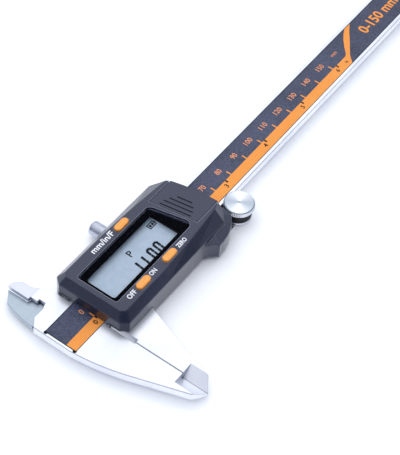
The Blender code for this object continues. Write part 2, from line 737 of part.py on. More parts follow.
def make_slider_frame():
    """Back plate, both rails, the moving jaws and the roller's tab, one piece of steel."""
    body = prism(rounded([
        (RELIEF_MOVING, -RAIL_OUTER), (SLIDER_END, -RAIL_OUTER),
        (SLIDER_END, RAIL_OUTER), (RELIEF_MOVING, RAIL_OUTER),
    ], SLIDER_CORNER), BACK_BOTTOM, RAIL_TOP, BEAM_CHAMFER)
    frame = add_object("slider_frame", body, "steel")
    blade_top = BLADE_SPLIT - FIT / 2
    added = [
        add_object("slider_jaw", prism(moving_jaw_outline(), BEAM_BACK, 0, BEAM_CHAMFER)),
        add_object("slider_blade", prism(moving_blade_outline(), BEAM_BACK, blade_top, FINE_EDGE)),
        add_object("slider_tab", prism(tab_outline(), BACK_BOTTOM, TAB_TOP)),
    ]
    outside = RAIL_OUTER + OVERCUT
    cutters = [
        add_object("slider_channel", box(
            (-OVERCUT, -RAIL_INNER, BACK_TOP), (SLIDER_END + OVERCUT, GIB_RAIL_INNER, RAIL_TOP + OVERCUT))),
        thinning_wedge("slider_tip_slope", 1, JAW_GAP),
        add_object("slider_lock_hole", cylinder(
            LOCK_STEM_RADIUS + FIT, RAIL_INNER, outside, (LOCK_X, BLADE_SPLIT), "Y")),
        add_object("slider_axle_hole", cylinder(
            AXLE_RADIUS + SNUG, BACK_BOTTOM - OVERCUT, TAB_TOP + OVERCUT, (ROLLER_X, ROLLER_Y))),
    ]
    for index, x in enumerate(GIB_SCREWS):
        hole = cylinder(GIB_SCREW_RADIUS + FIT / 2, RAIL_INNER, outside, (x, BLADE_SPLIT), "Y", segments=20)
        cutters.append(add_object(f"slider_gib_hole_{index + 1}", hole))
    for index, x in enumerate(ROD_SCREWS):
        cutters.append(screw_hole(f"slider_rod_hole_{index + 1}", (x, 0), BACK_TOP + OVERCUT))
    for index, centre in enumerate(boss_places()):
        cutters.append(screw_hole(f"slider_cover_hole_{index + 1}", centre, RAIL_TOP + OVERCUT))
    boolean(frame, "UNION", added)
    boolean(frame, "DIFFERENCE", cutters)


def boss_places():
    return [(x, side * BOSS_Y) for x in BOSS_X for side in (1, -1)]


def make_gib():
    """The strip between rail and beam, and the two screws that set its play."""
    middle = BLADE_SPLIT
    outer = RAIL_INNER + GIB_THICKNESS
    start = (RAIL_START + GIB_MARGIN, RAIL_INNER, BEAM_BACK)
    add_object("gib_strip", box(start, (SLIDER_END - GIB_MARGIN, outer, 0)), "nickel")
    low = outer + SNUG
    high = RAIL_OUTER - FIT
    reach = GIB_SCREW_RADIUS + OVERCUT
    for index, x in enumerate(GIB_SCREWS):
        name = f"gib_screw_{index + 1}"
        body = cylinder(GIB_SCREW_RADIUS, low, high, (x, middle), "Y", FINE_EDGE, 20)
        screw = add_object(name, body, "bright_steel", (x, low, middle))
        slot = add_object(name + "_slot", box(
            (x - reach, high - GIB_SLOT_DEPTH, middle - SCREW_SLOT / 2),
            (x + reach, high + OVERCUT, middle + SCREW_SLOT / 2)))
        boolean(screw, "DIFFERENCE", [slot])


def make_lock_screw():
    """A plain round head on a stem that presses the gib strip against the beam."""
    low = RAIL_INNER + GIB_THICKNESS + FIT
    head = LOCK_HEAD_START - low
    total = LOCK_END - low
    profile = [
        (LOCK_STEM_RADIUS - LOCK_STEM_EDGE, 0), (LOCK_STEM_RADIUS, LOCK_STEM_EDGE), (LOCK_STEM_RADIUS, head),
        (LOCK_HEAD_RADIUS - LOCK_HEAD_EDGE, head), (LOCK_HEAD_RADIUS, head + LOCK_HEAD_EDGE),
    ]
    for step in range(5):
        angle = math.pi / 2 * step / 4
        profile.append((
            LOCK_HEAD_RADIUS - LOCK_HEAD_ROUND * (1 - math.cos(angle)),
            total - LOCK_HEAD_ROUND * (1 - math.sin(angle)),
        ))
    place = (LOCK_X, low, BLADE_SPLIT)
    add_object("lock_screw", turned(profile, place, "Y", 40), "bright_steel", place)


def make_thumb_roller():
    """The knurled roller with its blind bore, the tyre on the beam's edge, and the axle."""
    centre = (ROLLER_X, ROLLER_Y)
    rim_bottom = FIT
    teeth = []
    for step in range(ROLLER_TEETH * 2):
        angle = math.pi * step / ROLLER_TEETH
        radius = ROLLER_RADIUS - (ROLLER_TOOTH if step % 2 else 0)
        teeth.append((centre[0] + radius * math.cos(angle), centre[1] + radius * math.sin(angle)))
    rim = prism(teeth, rim_bottom, ROLLER_TOP, ROLLER_EDGE)
    roller = add_object("thumb_roller", rim, "bright_steel", (*centre, ROLLER_BOTTOM))
    flange_top = ROLLER_BOTTOM + ROLLER_FLANGE_THICKNESS
    spool = [
        (ROLLER_FLANGE - FINE_EDGE, ROLLER_BOTTOM), (ROLLER_FLANGE, ROLLER_BOTTOM + FINE_EDGE),
        (ROLLER_FLANGE, flange_top - FINE_EDGE), (ROLLER_FLANGE - FINE_EDGE, flange_top),
        (ROLLER_HUB, flange_top), (ROLLER_HUB, rim_bottom + ROLLER_HUB_OVERLAP),
    ]
    bore_top = ROLLER_TOP - ROLLER_CAP
    bore = cylinder(AXLE_RADIUS + SNUG, ROLLER_BOTTOM - OVERCUT, bore_top, centre)
    dimple = [
        (FINE_EDGE, ROLLER_TOP - CENTRE_DEPTH), (CENTRE_RADIUS, ROLLER_TOP),
        (CENTRE_RADIUS, ROLLER_TOP + OVERCUT),
    ]
    boolean(roller, "UNION", [add_object("thumb_roller_spool", turned(spool, (*centre, 0), segments=40))])
    boolean(roller, "DIFFERENCE", [
        add_object("thumb_roller_bore", bore),
        add_object("thumb_roller_centre", turned(dimple, (*centre, 0), segments=16)),
    ])
    tyre_low = flange_top + SNUG
    tyre_high = rim_bottom - SNUG
    outer = ROLLING_RADIUS - FIT
    inner = ROLLER_HUB + SNUG
    tyre = [
        (inner, tyre_low), (outer - TYRE_EDGE, tyre_low), (outer, tyre_low + TYRE_EDGE),
        (outer, tyre_high - TYRE_EDGE), (outer - TYRE_EDGE, tyre_high), (inner, tyre_high),
    ]
    add_object("roller_tyre", ring_solid(tyre, (*centre, 0)), "rubber", (*centre, tyre_low))
    axle = cylinder(AXLE_RADIUS, BACK_BOTTOM + FIT, bore_top - FIT, centre, edge=FINE_EDGE)
    add_object("roller_axle", axle, "steel", (*centre, 0))


def end_x(y, out=0.0):
    """The cover's right-hand end, a slanted shallow arc."""
    return END_X + out - END_SLANT * y - END_BOW * y * y


def end_points(half, out, steps=8):
    """Points up the slanted end, from -half to half."""
    heights = [half * (2 * step / steps - 1) for step in range(steps + 1)]
    return [(end_x(y, out), y) for y in heights]


def cover_wall_outline():
    corner_x, corner_y = COVER_CORNER
    half = COVER_HALF_WIDTH
    return [
        (0, half - corner_y), (0, -half + corner_y), (corner_x, -half),
        (TAPER_START, -half), (TAPER_MID[0], -half), (END_X - END_LOW_SETBACK, -half),
        *end_points(END_HALF_WIDTH, END_STEP),
        (END_X - END_HIGH_SETBACK, half), (TAPER_MID[0], half), (TAPER_START, half),
        (corner_x, half),
    ]


def cover_top_outline():
    corner = COVER_TOP_CORNER
    front = COVER_FRONT_BEVEL
    half = TOP_HALF_WIDTH
    return [
        (front, half - corner), (front, -half + corner), (front + corner, -half),
        (TAPER_START, -half), (TAPER_MID[0], -TAPER_MID[1]),
        (TAPER_END[0], -TAPER_END[1]),
        *end_points(END_TOP_HALF_WIDTH, 0),
        TAPER_END, TAPER_MID, (TAPER_START, half),
        (front + corner, half),
    ]


def cover_shell():
    """The cover's outside: upright walls, then a bevel in to the top face."""
    mesh_data = bmesh.new()
    rings = []
    walls = cover_wall_outline()
    for outline, level in ((walls, COVER_BOTTOM), (walls, COVER_BEND), (cover_top_outline(), COVER_TOP)):
        rings.append([mesh_data.verts.new((x, y, level)) for x, y in outline])
    for lower, upper in zip(rings, rings[1:]):
        for index in range(len(lower)):
            following = (index + 1) % len(lower)
            mesh_data.faces.new((lower[index], lower[following], upper[following], upper[index]))
    mesh_data.faces.new(rings[0])
    lid = mesh_data.faces.new(rings[-1])
    bmesh.ops.recalc_face_normals(mesh_data, faces=mesh_data.faces)
    eased = list(lid.edges)
    for edge in mesh_data.edges:
        heights = [vert.co.z for vert in edge.verts]
        along_bend = all(abs(height - COVER_BEND) < 1e-6 for height in heights)
        upright = abs(heights[0] - heights[1]) > COVER_EDGE
        if along_bend or (upright and edge.calc_face_angle(0) > SHARP_ANGLE):
            eased.append(edge)
    bmesh.ops.bevel(
        mesh_data, geom=eased, offset=COVER_EDGE, segments=2,
        affect="EDGES", profile=0.5, clamp_overlap=True,
    )
    return mesh_data


def thumb_rest():
    """The ledge for the thumb: its top rises from a low rim towards the cover's wall."""
    corner = REST_CORNER
    tip = (corner[0] + REST_TIP_LENGTH, corner[1] + REST_TIP_DROP)
    turn = (REST_END - REST_TURN_SETBACK, REST_TURN_INSET - COVER_HALF_WIDTH)
    inner_y = -RAIL_INNER
    outline = [
        *arc((REST_START, -COVER_HALF_WIDTH + REST_ROOT), corner, -REST_FILLET, 6),
        *arc(tip, turn, REST_BOW, 8),
        (REST_END, REST_SIDE_INSET - COVER_HALF_WIDTH),
        (REST_END, inner_y),
        (REST_START + REST_INNER, inner_y),
    ]
    middle = Vector(((corner[0] + END_X) / 2, inner_y - REST_ROOT))
    inner = [tuple(middle + (Vector(point) - middle) * REST_DISH) for point in outline]
    mesh_data = bmesh.new()
    rings = []
    for points, level in ((outline, COVER_BOTTOM), (outline, REST_RIM), (inner, REST_VALLEY)):
        rings.append([mesh_data.verts.new((x, y, level)) for x, y in points])
    for lower, upper in zip(rings, rings[1:]):
        for index in range(len(lower)):
            following = (index + 1) % len(lower)
            mesh_data.faces.new((lower[index], lower[following], upper[following], upper[index]))
    mesh_data.faces.new(rings[0])
    mesh_data.faces.new(rings[-1])
    bmesh.ops.recalc_face_normals(mesh_data, faces=mesh_data.faces)
    rim = [
        edge for edge in mesh_data.edges
        if all(abs(vert.co.z - REST_RIM) < 1e-6 for vert in edge.verts)
    ]
    bmesh.ops.bevel(
        mesh_data, geom=rim, offset=REST_EDGE, segments=2,
        affect="EDGES", profile=0.5, clamp_overlap=True,
    )
    return mesh_data


def window_outline(clearance=0.0):
    """The window: square at its left end, slanted at its right, with round right corners."""
    half = WINDOW_HALF_WIDTH + clearance
    left = WINDOW_START - clearance
    right = WINDOW_END + clearance
    corners = [
        (left, -half), (right + WINDOW_SLANT * half, -half),
        (right - WINDOW_SLANT * half, half), (left, half),
    ]
    steps = 5
    per_corner = steps + 1
    small = rounded(corners, WINDOW_SMALL_CORNER, steps)
    large = rounded(corners, WINDOW_CORNER, steps)
    return small[:per_corner] + large[per_corner:3 * per_corner] + small[3 * per_corner:]


def door_outline(clearance, out, half):
    left = [(DOOR_START - clearance - DOOR_SLANT * y, y) for y in (half, -half)]
    return left + end_points(half, out)


def door_solid(clearance, out, top):
    """The battery cover's body: a plate whose sides lean in, so that it slides in its seat."""
    mesh_data = bmesh.new()
    rings = []
    slope = DOOR_DOVETAIL / DOOR_THICKNESS
    for level in (DOOR_BOTTOM - clearance, top):
        half = END_TOP_HALF_WIDTH + clearance + (COVER_TOP - level) * slope
        rings.append([mesh_data.verts.new((x, y, level)) for x, y in door_outline(clearance, out, half)])
    for index in range(len(rings[0])):
        following = (index + 1) % len(rings[0])
        mesh_data.faces.new((rings[0][index], rings[0][following], rings[1][following], rings[1][index]))
    mesh_data.faces.new(rings[0])
    mesh_data.faces.new(rings[1])
    return mesh_data


def cover_cavities():
    """Everything that is hollowed out of the cover but its screw holes."""
    half_rails = COVER_HALF_WIDTH - COVER_WALL
    deep = COVER_BOTTOM - OVERCUT
    wall = COVER_WALL
    past = 2 * OVERCUT
    roof_end = LCD_END + LCD_FRAME_WALL + FIT * 2
    half_contact = CONTACT_WIDTH / 2 + FIT
    pocket_half = CONTACT_PLUS_LENGTH / 2 + FIT
    pocket_depth = CELL_RADIUS + 2 * FIT + CONTACT_THICKNESS * 2
    side_low = half_rails - OVERCUT
    side_high = COVER_HALF_WIDTH + OVERCUT
    boxes = {
        "rail_cavity": ((COVER_END_WALL, -half_rails, deep), (SLIDER_END + FIT, half_rails, BOARD_BOTTOM)),
        "beam_channel": ((-past, -RAIL_INNER, deep), (REST_END + past, RAIL_INNER, FIT)),
        "board_cavity": ((wall, -half_rails, 0), (BOARD_END + FIT, half_rails, INNER_BEND)),
        "roof_cavity": (
            (INNER_ROOF_START, -INNER_ROOF_HALF_WIDTH, 0), (roof_end, INNER_ROOF_HALF_WIDTH, CEILING)),
        "jaw_notch": (
            (-past, -COVER_HALF_WIDTH - past, deep), (MOVING_JAW_ROOT + FIT, NOTCH_DEPTH - half_rails, FIT)),
        "blade_notch": (
            (-past, half_rails - NOTCH_DEPTH, deep),
            (INSIDE_SHOULDER + FIT, COVER_HALF_WIDTH + past, BLADE_SPLIT + FIT)),
        "front_gap": ((-past, -half_rails, deep), (wall, half_rails, FIT)),
        "contact_slot": ((BOARD_END, -half_contact, TRAY_TOP), (CELL_X, half_contact, BOARD_TOP)),
        "contact_pocket": (
            (CELL_X - pocket_half, 0, TRAY_TOP), (CELL_X + pocket_half, pocket_depth, DOOR_BOTTOM)),
    }
    solids = {name: box(low, high) for name, (low, high) in boxes.items()}
    window_low = COVER_TOP - WINDOW_THICKNESS - FIT
    solids["window_seat"] = prism(window_outline(SNUG), window_low, COVER_TOP + OVERCUT)
    solids["window_opening"] = prism(window_outline(-WINDOW_LEDGE), CEILING - OVERCUT, COVER_TOP)
    solids["door_seat"] = door_solid(SNUG, DOOR_SEAT_END, COVER_TOP + OVERCUT)
    solids["battery_well"] = cylinder(CELL_RADIUS + FIT, TRAY_TOP, COVER_TOP, (CELL_X, 0), segments=40)
    lock_place = (LOCK_X, BLADE_SPLIT)
    solids["lock_hole"] = cylinder(LOCK_STEM_RADIUS + FIT, side_low, side_high, lock_place, "Y")
    for name, place in BUTTONS.items():
        slot = stadium(place, BUTTON_LENGTH + 2 * SNUG, BUTTON_WIDTH + 2 * SNUG)
        solids[name + "_opening"] = prism(slot, CEILING - OVERCUT, COVER_TOP + OVERCUT)
    for index, x in enumerate(GIB_SCREWS):
        solids[f"gib_access_{index + 1}"] = cylinder(
            GIB_SCREW_RADIUS + FIT, side_low, side_high, (x, BLADE_SPLIT), "Y", segments=20)
    return [add_object("cover_" + name, solid) for name, solid in solids.items()]


def make_front_cover():
    """The moulded cover on the slider, with its thumb rest, openings and screw bosses."""
    cover = add_object("front_cover", cover_shell(), "dark_plastic")
    bosses = []
    holes = []
    grip_top = BOARD_BOTTOM + SCREW_GRIP
    head_level = BACK_BOTTOM + SCREW_SINK
    for index, centre in enumerate(boss_places()):
        boss = cylinder(BOSS_RADIUS, BOARD_BOTTOM, CEILING + BOSS_ROOT, centre, segments=24)
        bosses.append(add_object(f"cover_boss_{index + 1}", boss))
        hole = cylinder(SCREW_RADIUS + FIT / 2, BOARD_BOTTOM - OVERCUT, grip_top + FIT, centre, segments=20)
        holes.append(add_object(f"cover_boss_hole_{index + 1}", hole))
        make_screw(f"cover_screw_{index + 1}", centre, head_level, grip_top - head_level)
    boolean(cover, "UNION", [add_object("cover_thumb_rest", thumb_rest())])
    boolean(cover, "DIFFERENCE", cover_cavities())
    boolean(cover, "UNION", bosses)
    boolean(cover, "DIFFERENCE", holes)


def make_window():
    low = COVER_TOP - WINDOW_THICKNESS
    add_object("display_window", prism(window_outline(), low, COVER_TOP, FINE_EDGE), "clear_window")


def make_display():
    """LCD, the frame that holds it to the board, and its two contact rubbers."""
    left = LCD_START
    right = LCD_END
    half = LCD_HALF_WIDTH
    wall = LCD_FRAME_WALL
    back = LCD_FRONT - LCD_THICKNESS
    glass = box((left, -half, back), (right, half, LCD_FRONT), FINE_EDGE)
    add_object("lcd_glass", glass, "display_glass")
    frame_low = BOARD_TOP + FIT
    frame_high = CEILING - FIT
    outer = FIT + wall
    outer_half = half + outer
    body = box((left - outer, -outer_half, frame_low), (right + outer, outer_half, frame_high))
    frame = add_object("lcd_frame", body, "grey_plastic")
    lip = LCD_FRAME_LIP
    boolean(frame, "DIFFERENCE", [
        add_object("lcd_frame_pocket", box(
            (left - FIT, -half - FIT, frame_low - OVERCUT), (right + FIT, half + FIT, LCD_FRONT + SNUG))),
        add_object("lcd_frame_opening", box(
            (left + lip, -half + lip, frame_low), (right - lip, half - lip, frame_high + OVERCUT))),
    ])
    for index, side in enumerate((1, -1)):
        edges = sorted(side * (half - RUBBER_INSET - width) for width in (0, RUBBER_WIDTH))
        low = (left + RUBBER_END, edges[0], frame_low)
        high = (right - RUBBER_END, edges[1], back - FIT)
        add_object(f"contact_rubber_{index + 1}", box(low, high), "rubber")


def make_board():
    """The circuit board, notched round the cover's bosses, with its chip and switches."""
    half = BOARD_HALF_WIDTH
    notch = BOSS_Y - BOSS_RADIUS - FIT
    left = BOSS_X[0] + BOSS_RADIUS + FIT
    right = BOSS_X[1] - BOSS_RADIUS - FIT
    lower = [
        (BOARD_START, -notch), (left, -notch), (left, -half),
        (right, -half), (right, -notch), (BOARD_END, -notch),
    ]
    outline = lower + [(x, -y) for x, y in reversed(lower)]
    add_object("circuit_board", prism(outline, BOARD_BOTTOM, BOARD_TOP), "circuit_green")
    low = BOARD_TOP + SNUG
    dome = []
    for step in range(5):
        angle = math.pi / 2 * step / 5
        dome.append((CHIP_RADIUS * math.cos(angle), CHIP_HEIGHT * math.sin(angle)))
    place = (CHIP_X, 0, low)
    add_object("controller_chip", turned(dome, place, segments=28), "black_resin", place)
    half_long = SWITCH_LENGTH / 2
    half_wide = SWITCH_WIDTH / 2
    body_top = low + SWITCH_BODY
    for name, (x, y) in BUTTONS.items():
        body = box((x - half_long, y - half_wide, low), (x + half_long, y + half_wide, body_top))
        switch = add_object(name + "_switch", body, "nickel", (x, y, low))
        plunger = cylinder(BUTTON_STEM_RADIUS, body_top - SNUG, low + SWITCH_HEIGHT, (x, y), segments=20)
        boolean(switch, "UNION", [add_object(name + "_switch_plunger", plunger)])


def make_buttons():
    """Push buttons with a lip at each end that keeps them under the cover's roof."""
    switch_top = BOARD_TOP + SNUG + SWITCH_HEIGHT
    stem_low = switch_top + BUTTON_TRAVEL + SNUG
    seat = CEILING - FIT
    base = seat - BUTTON_FLANGE_THICKNESS
    top = COVER_TOP + BUTTON_PROUD
    for name, place in BUTTONS.items():
        cap = prism(stadium(place, BUTTON_LENGTH, BUTTON_WIDTH), base, top, BUTTON_EDGE, 0, 2)
        button = add_object(name + "_button", cap, "orange_plastic", (*place, top))
        flange = stadium(place, BUTTON_LENGTH + 2 * BUTTON_FLANGE, BUTTON_WIDTH - SNUG)
        lip = add_object(name + "_button_lip", prism(flange, base, seat))
        stem = cylinder(BUTTON_STEM_RADIUS, stem_low, seat, place, segments=20)
        boolean(button, "UNION", [lip, add_object(name + "_button_stem", stem)])


def make_battery():
    """The coin cell on its contacts, and the ribbed cover that slides off over it."""
    edge = CELL_EDGE
    step = CELL_CAN_STEP
    cap = CELL_RADIUS - CELL_CAP_INSET
    cell = [
        (cap - edge, 0), (cap, edge), (cap, step), (CELL_RADIUS - edge, step),
        (CELL_RADIUS, step + edge), (CELL_RADIUS, CELL_HEIGHT - edge), (CELL_RADIUS - edge, CELL_HEIGHT),
    ]
    place = (CELL_X, 0, CELL_BOTTOM)
    add_object("coin_cell", turned(cell, place, segments=40), "nickel", place)
    low = TRAY_TOP + SNUG
    half = CONTACT_WIDTH / 2
    high = (CELL_X + half, half, low + CONTACT_THICKNESS)
    add_object("battery_contact_minus", box((BOARD_END + FIT * 2, -half, low), high), "nickel")
    half = CONTACT_PLUS_LENGTH / 2
    near = CELL_RADIUS + FIT
    high = (CELL_X + half, near + CONTACT_THICKNESS, CELL_BOTTOM + CELL_HEIGHT - FIT)
    add_object("battery_contact_plus", box((CELL_X - half, near, low), high), "nickel")
    door = add_object("battery_cover", door_solid(0, 0, COVER_TOP), "dark_plastic")
    grips = []
    for index in range(GRIP_COUNT):
        length = GRIP_LENGTH - GRIP_SHRINK * index * index
        low = (-GRIP_WIDTH / 2, -length / 2, COVER_TOP - GRIP_DEPTH)
        groove = box(low, (GRIP_WIDTH / 2, length / 2, COVER_TOP + OVERCUT))
        bmesh.ops.rotate(groove, verts=groove.verts, matrix=Matrix.Rotation(GRIP_ANGLE, 3, "Z"))
        bmesh.ops.translate(groove, verts=groove.verts, vec=(GRIP_FIRST + GRIP_PITCH * index, 0, 0))
        grips.append(add_object(f"battery_cover_grip_{index + 1}", groove))
    boolean(door, "DIFFERENCE", grips)


clear_scene()
DATUM = make_datum()
make_beam()
make_scale()
make_end_stop()
make_depth_rod()
make_slider_frame()
make_gib()
make_lock_screw()
make_thumb_roller()
make_front_cover()
make_window()
make_display()
make_board()
make_buttons()
make_battery()
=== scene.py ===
import math

import bpy
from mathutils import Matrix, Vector


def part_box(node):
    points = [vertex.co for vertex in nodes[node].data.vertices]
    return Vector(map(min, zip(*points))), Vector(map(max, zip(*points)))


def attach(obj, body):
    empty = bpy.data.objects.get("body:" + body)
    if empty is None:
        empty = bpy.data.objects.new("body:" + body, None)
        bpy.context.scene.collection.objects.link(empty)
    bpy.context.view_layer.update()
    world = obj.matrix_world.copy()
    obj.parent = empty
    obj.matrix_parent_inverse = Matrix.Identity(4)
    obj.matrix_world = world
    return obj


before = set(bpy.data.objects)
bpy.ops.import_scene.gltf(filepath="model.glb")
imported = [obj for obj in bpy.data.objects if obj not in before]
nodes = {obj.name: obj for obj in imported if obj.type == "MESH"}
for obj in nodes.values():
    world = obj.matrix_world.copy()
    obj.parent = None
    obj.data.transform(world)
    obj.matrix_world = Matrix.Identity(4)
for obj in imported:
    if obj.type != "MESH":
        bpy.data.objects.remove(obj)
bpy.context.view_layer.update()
scene = bpy.context.scene
scene.view_settings.view_transform = "Standard"
print("frame loaded:", len(nodes), "nodes")

# Drawn places are millimetres from the closed jaws' plane, the beam's centre line and the beam's front face.
zeroPoint = Vector((-0.103, 0.01045, 0.0053))


def at(x, y, z=0.0):
    return zeroPoint + Vector((x, y, z)) / 1000


def fromZero(point):
    return (Vector(point) - zeroPoint) * 1000


def linearColour(hexColour):
    shares = [int(hexColour[i : i + 2], 16) / 255 for i in (1, 3, 5)]
    return [c / 12.92 if c <= 0.04045 else ((c + 0.055) / 1.055) ** 2.4 for c in shares] + [1.0]


# The view in which the printed scale's ticks and the beam's edges fall where the photograph has them.
cameraLook = {
    "place": (-0.30903, -0.15624, 0.37938),
    "turnDegrees": (38.93368, -3.35823, -54.31548),
    "lensMm": 108.112,
    "sensorMm": 36.0,
    "nearest": 0.01,
    "farthest": 20.0,
}


def addCamera():
    look = cameraLook
    data = bpy.data.cameras.new("camera")
    data.lens = look["lensMm"]
    data.sensor_width = look["sensorMm"]
    data.clip_start = look["nearest"]
    data.clip_end = look["farthest"]
    camera = bpy.data.objects.new("camera", data)
    camera.location = look["place"]
    camera.rotation_euler = [math.radians(angle) for angle in look["turnDegrees"]]
    scene.collection.objects.link(camera)
    scene.camera = camera


def addNode(tree, kind, settings=None, links=None):
    # A setting is a socket's value where the node has that socket, and otherwise a property of the node.
    node = tree.nodes.new(kind)
    for name, value in (settings or {}).items():
        if isinstance(name, int) or name in node.inputs:
            node.inputs[name].default_value = value
        else:
            setattr(node, name, value)
    for socket, source in (links or {}).items():
        tree.links.new(source, node.inputs[socket])
    return node


def startMaterial(name):
    material = bpy.data.materials.new(name)
    material.use_nodes = True
    material.node_tree.nodes.clear()
    return material, material.node_tree


def closeMaterial(tree, shader):
    addNode(tree, "ShaderNodeOutputMaterial", links={"Surface": shader})


# Rays per shaded point in the nodes that feel for nearby surfaces.
raySamples = {"floor": 4, "bump": 4, "edge": 6, "paintedRecessShade": 8}

floorLook = {
    "halfSize": 3.0,
    "colour": "#fbfcfe",
    "glow": 0.16,  # added for the camera, which brings the lit floor to white
    "mirrorGlow": 0.28,  # added in mirrors: an overexposed floor mirrors brighter than white
    "paintedShadowReach": 0.006,  # what lies this near takes the glow away: a painted shadow that keeps the floor under a slot dark
    "under": 0.00003,  # kept below the faces that the caliper rests on
}


def addFloor():
    look = floorLook
    bpy.ops.object.select_all(action="DESELECT")
    bpy.ops.mesh.primitive_plane_add(size=2 * look["halfSize"], location=(0, 0, -look["under"]))
    floor = bpy.context.object
    floor.name = "studioFloor"
    material, tree = startMaterial("whiteTable")
    paint = addNode(tree, "ShaderNodeBsdfDiffuse", {"Color": linearColour(look["colour"])})
    path = addNode(tree, "ShaderNodeLightPath")
    seen = addNode(
        tree,
        "ShaderNodeMath",
        {"operation": "MAXIMUM"},
        {0: path.outputs["Is Camera Ray"], 1: path.outputs["Is Transmission Ray"]},
    )
    openness = addNode(
        tree,
        "ShaderNodeAmbientOcclusion",
        {"samples": raySamples["floor"], "Distance": look["paintedShadowReach"]},
    )
    # Painted shadow: the glow fades where something lies near.
    glowWithPaintedShadow = addNode(
        tree,
        "ShaderNodeMath",
        {"operation": "MULTIPLY"},
        {0: seen.outputs[0], 1: openness.outputs["AO"]},
    )
    mirrored = addNode(
        tree,
        "ShaderNodeMath",
        {"operation": "MULTIPLY", 1: look["mirrorGlow"]},
        {0: path.outputs["Is Glossy Ray"]},
    )
    strength = addNode(
        tree,
        "ShaderNodeMath",
        {"operation": "MULTIPLY_ADD", 1: look["glow"]},
        {0: glowWithPaintedShadow.outputs[0], 2: mirrored.outputs[0]},
    )
    glow = addNode(tree, "ShaderNodeEmission", links={"Strength": strength.outputs[0]})
    both = addNode(tree, "ShaderNodeAddShader", links={0: paint.outputs[0], 1: glow.outputs[0]})
    closeMaterial(tree, both.outputs[0])
    floor.data.materials.append(material)


softboxWay = (0.34, 0.35, 0.87)  # from the caliper to the big softbox, which its top faces mirror
lightLook = {
    "skyNear": "#ebeef4",
    "skyFar": "#667089",
    "skySpread": (0.10, 0.75),  # cosines to the softbox's direction: the far sky ends, the near sky begins
    "skyStrength": 1.4,
    "mirroredSky": 1.0,  # weaker, because in a mirror a lamp's own light adds to the sky behind it
    "backdrop": 1.0,
    "lamps": (  # name, distance, direction from the caliper, size, watts, colour
        ("softboxBehind", 1.25, softboxWay, 1.20, 2.3, "#fafbff"),
        ("fillLeft", 1.10, (-0.50, 0.10, 0.86), 0.80, 0.6, "#f2f5ff"),
    ),
    "aim": (-0.06, 0.0, 0.005),
}


def addSky():
    look = lightLook
    world = bpy.data.worlds.new("studio")
    scene.world = world
    world.use_nodes = True
    tree = world.node_tree
    tree.nodes.clear()
    way = addNode(tree, "ShaderNodeTexCoord").outputs["Generated"]
    softbox = Vector(softboxWay).normalized()
    facing = addNode(tree, "ShaderNodeVectorMath", {"operation": "DOT_PRODUCT", 1: softbox}, {0: way})
    far, near = look["skySpread"]
    share = addNode(
        tree,
        "ShaderNodeMapRange",
        {"From Min": far, "From Max": near},
        {"Value": facing.outputs["Value"]},
    )
    sky = addNode(
        tree,
        "ShaderNodeMix",
        {"data_type": "RGBA", 6: linearColour(look["skyFar"]), 7: linearColour(look["skyNear"])},
        {0: share.outputs[0]},
    )
    colour = {"Color": sky.outputs[2]}
    lighting = addNode(tree, "ShaderNodeBackground", {"Strength": look["skyStrength"]}, colour)
    mirrored = addNode(tree, "ShaderNodeBackground", {"Strength": look["mirroredSky"]}, colour)
    white = addNode(tree, "ShaderNodeBackground", {"Strength": look["backdrop"], "Color": (1, 1, 1, 1)})
    path = addNode(tree, "ShaderNodeLightPath")
    unseen = addNode(
        tree,
        "ShaderNodeMixShader",
        links={0: path.outputs["Is Glossy Ray"], 1: lighting.outputs[0], 2: mirrored.outputs[0]},
    )
    seen = addNode(
        tree,
        "ShaderNodeMath",
        {"operation": "MAXIMUM"},
        {0: path.outputs["Is Camera Ray"], 1: path.outputs["Is Transmission Ray"]},
    )
    whole = addNode(
        tree,
        "ShaderNodeMixShader",
        links={0: seen.outputs[0], 1: unseen.outputs[0], 2: white.outputs[0]},
    )
    addNode(tree, "ShaderNodeOutputWorld", links={"Surface": whole.outputs[0]})


def addLamps():
    aim = Vector(lightLook["aim"])
    for name, distance, direction, size, watts, colour in lightLook["lamps"]:
        data = bpy.data.lights.new(name, "AREA")
        data.size = size
        data.energy = watts
        data.color = linearColour(colour)[:3]
        lamp = bpy.data.objects.new(name, data)
        lamp.location = aim + Vector(direction).normalized() * distance
        lamp.rotation_euler = (aim - lamp.location).to_track_quat("-Z", "Y").to_euler()
        scene.collection.objects.link(lamp)


addCamera()
addFloor()
addSky()
addLamps()
print("camera, floor and light are in place")


def pattern(tree, spacingMm, stretch=(1, 1, 1), detail=2.0):
    # Object coordinates are metres here, so a pattern's scale is one over its spacing in metres.
    place = addNode(tree, "ShaderNodeTexCoord").outputs["Object"]
    stretched = addNode(
        tree,
        "ShaderNodeMapping",
        {"vector_type": "TEXTURE", "Scale": stretch},
        {"Vector": place},
    )
    noise = addNode(
        tree,
        "ShaderNodeTexNoise",
        {"Scale": 1000 / spacingMm, "Detail": detail},
        {"Vector": stretched.outputs[0]},
    )
    return noise.outputs["Fac"]


def spread(tree, noise, low, high):
    # Noise lies mostly between 0.35 and 0.65, so that is what is spread out from low to high.
    settings = {"From Min": 0.35, "From Max": 0.65, "To Min": low, "To Max": high}
    return addNode(tree, "ShaderNodeMapRange", settings, {"Value": noise}).outputs[0]


def darkToPale(tree, look, share):
    settings = {"data_type": "RGBA", 6: linearColour(look["dark"]), 7: linearColour(look["pale"])}
    return addNode(tree, "ShaderNodeMix", settings, {0: share}).outputs[2]


def toneOver(tree, colour, share, tone):
    settings = {"data_type": "RGBA", 7: linearColour(tone)}
    return addNode(tree, "ShaderNodeMix", settings, {0: share, 6: colour}).outputs[2]


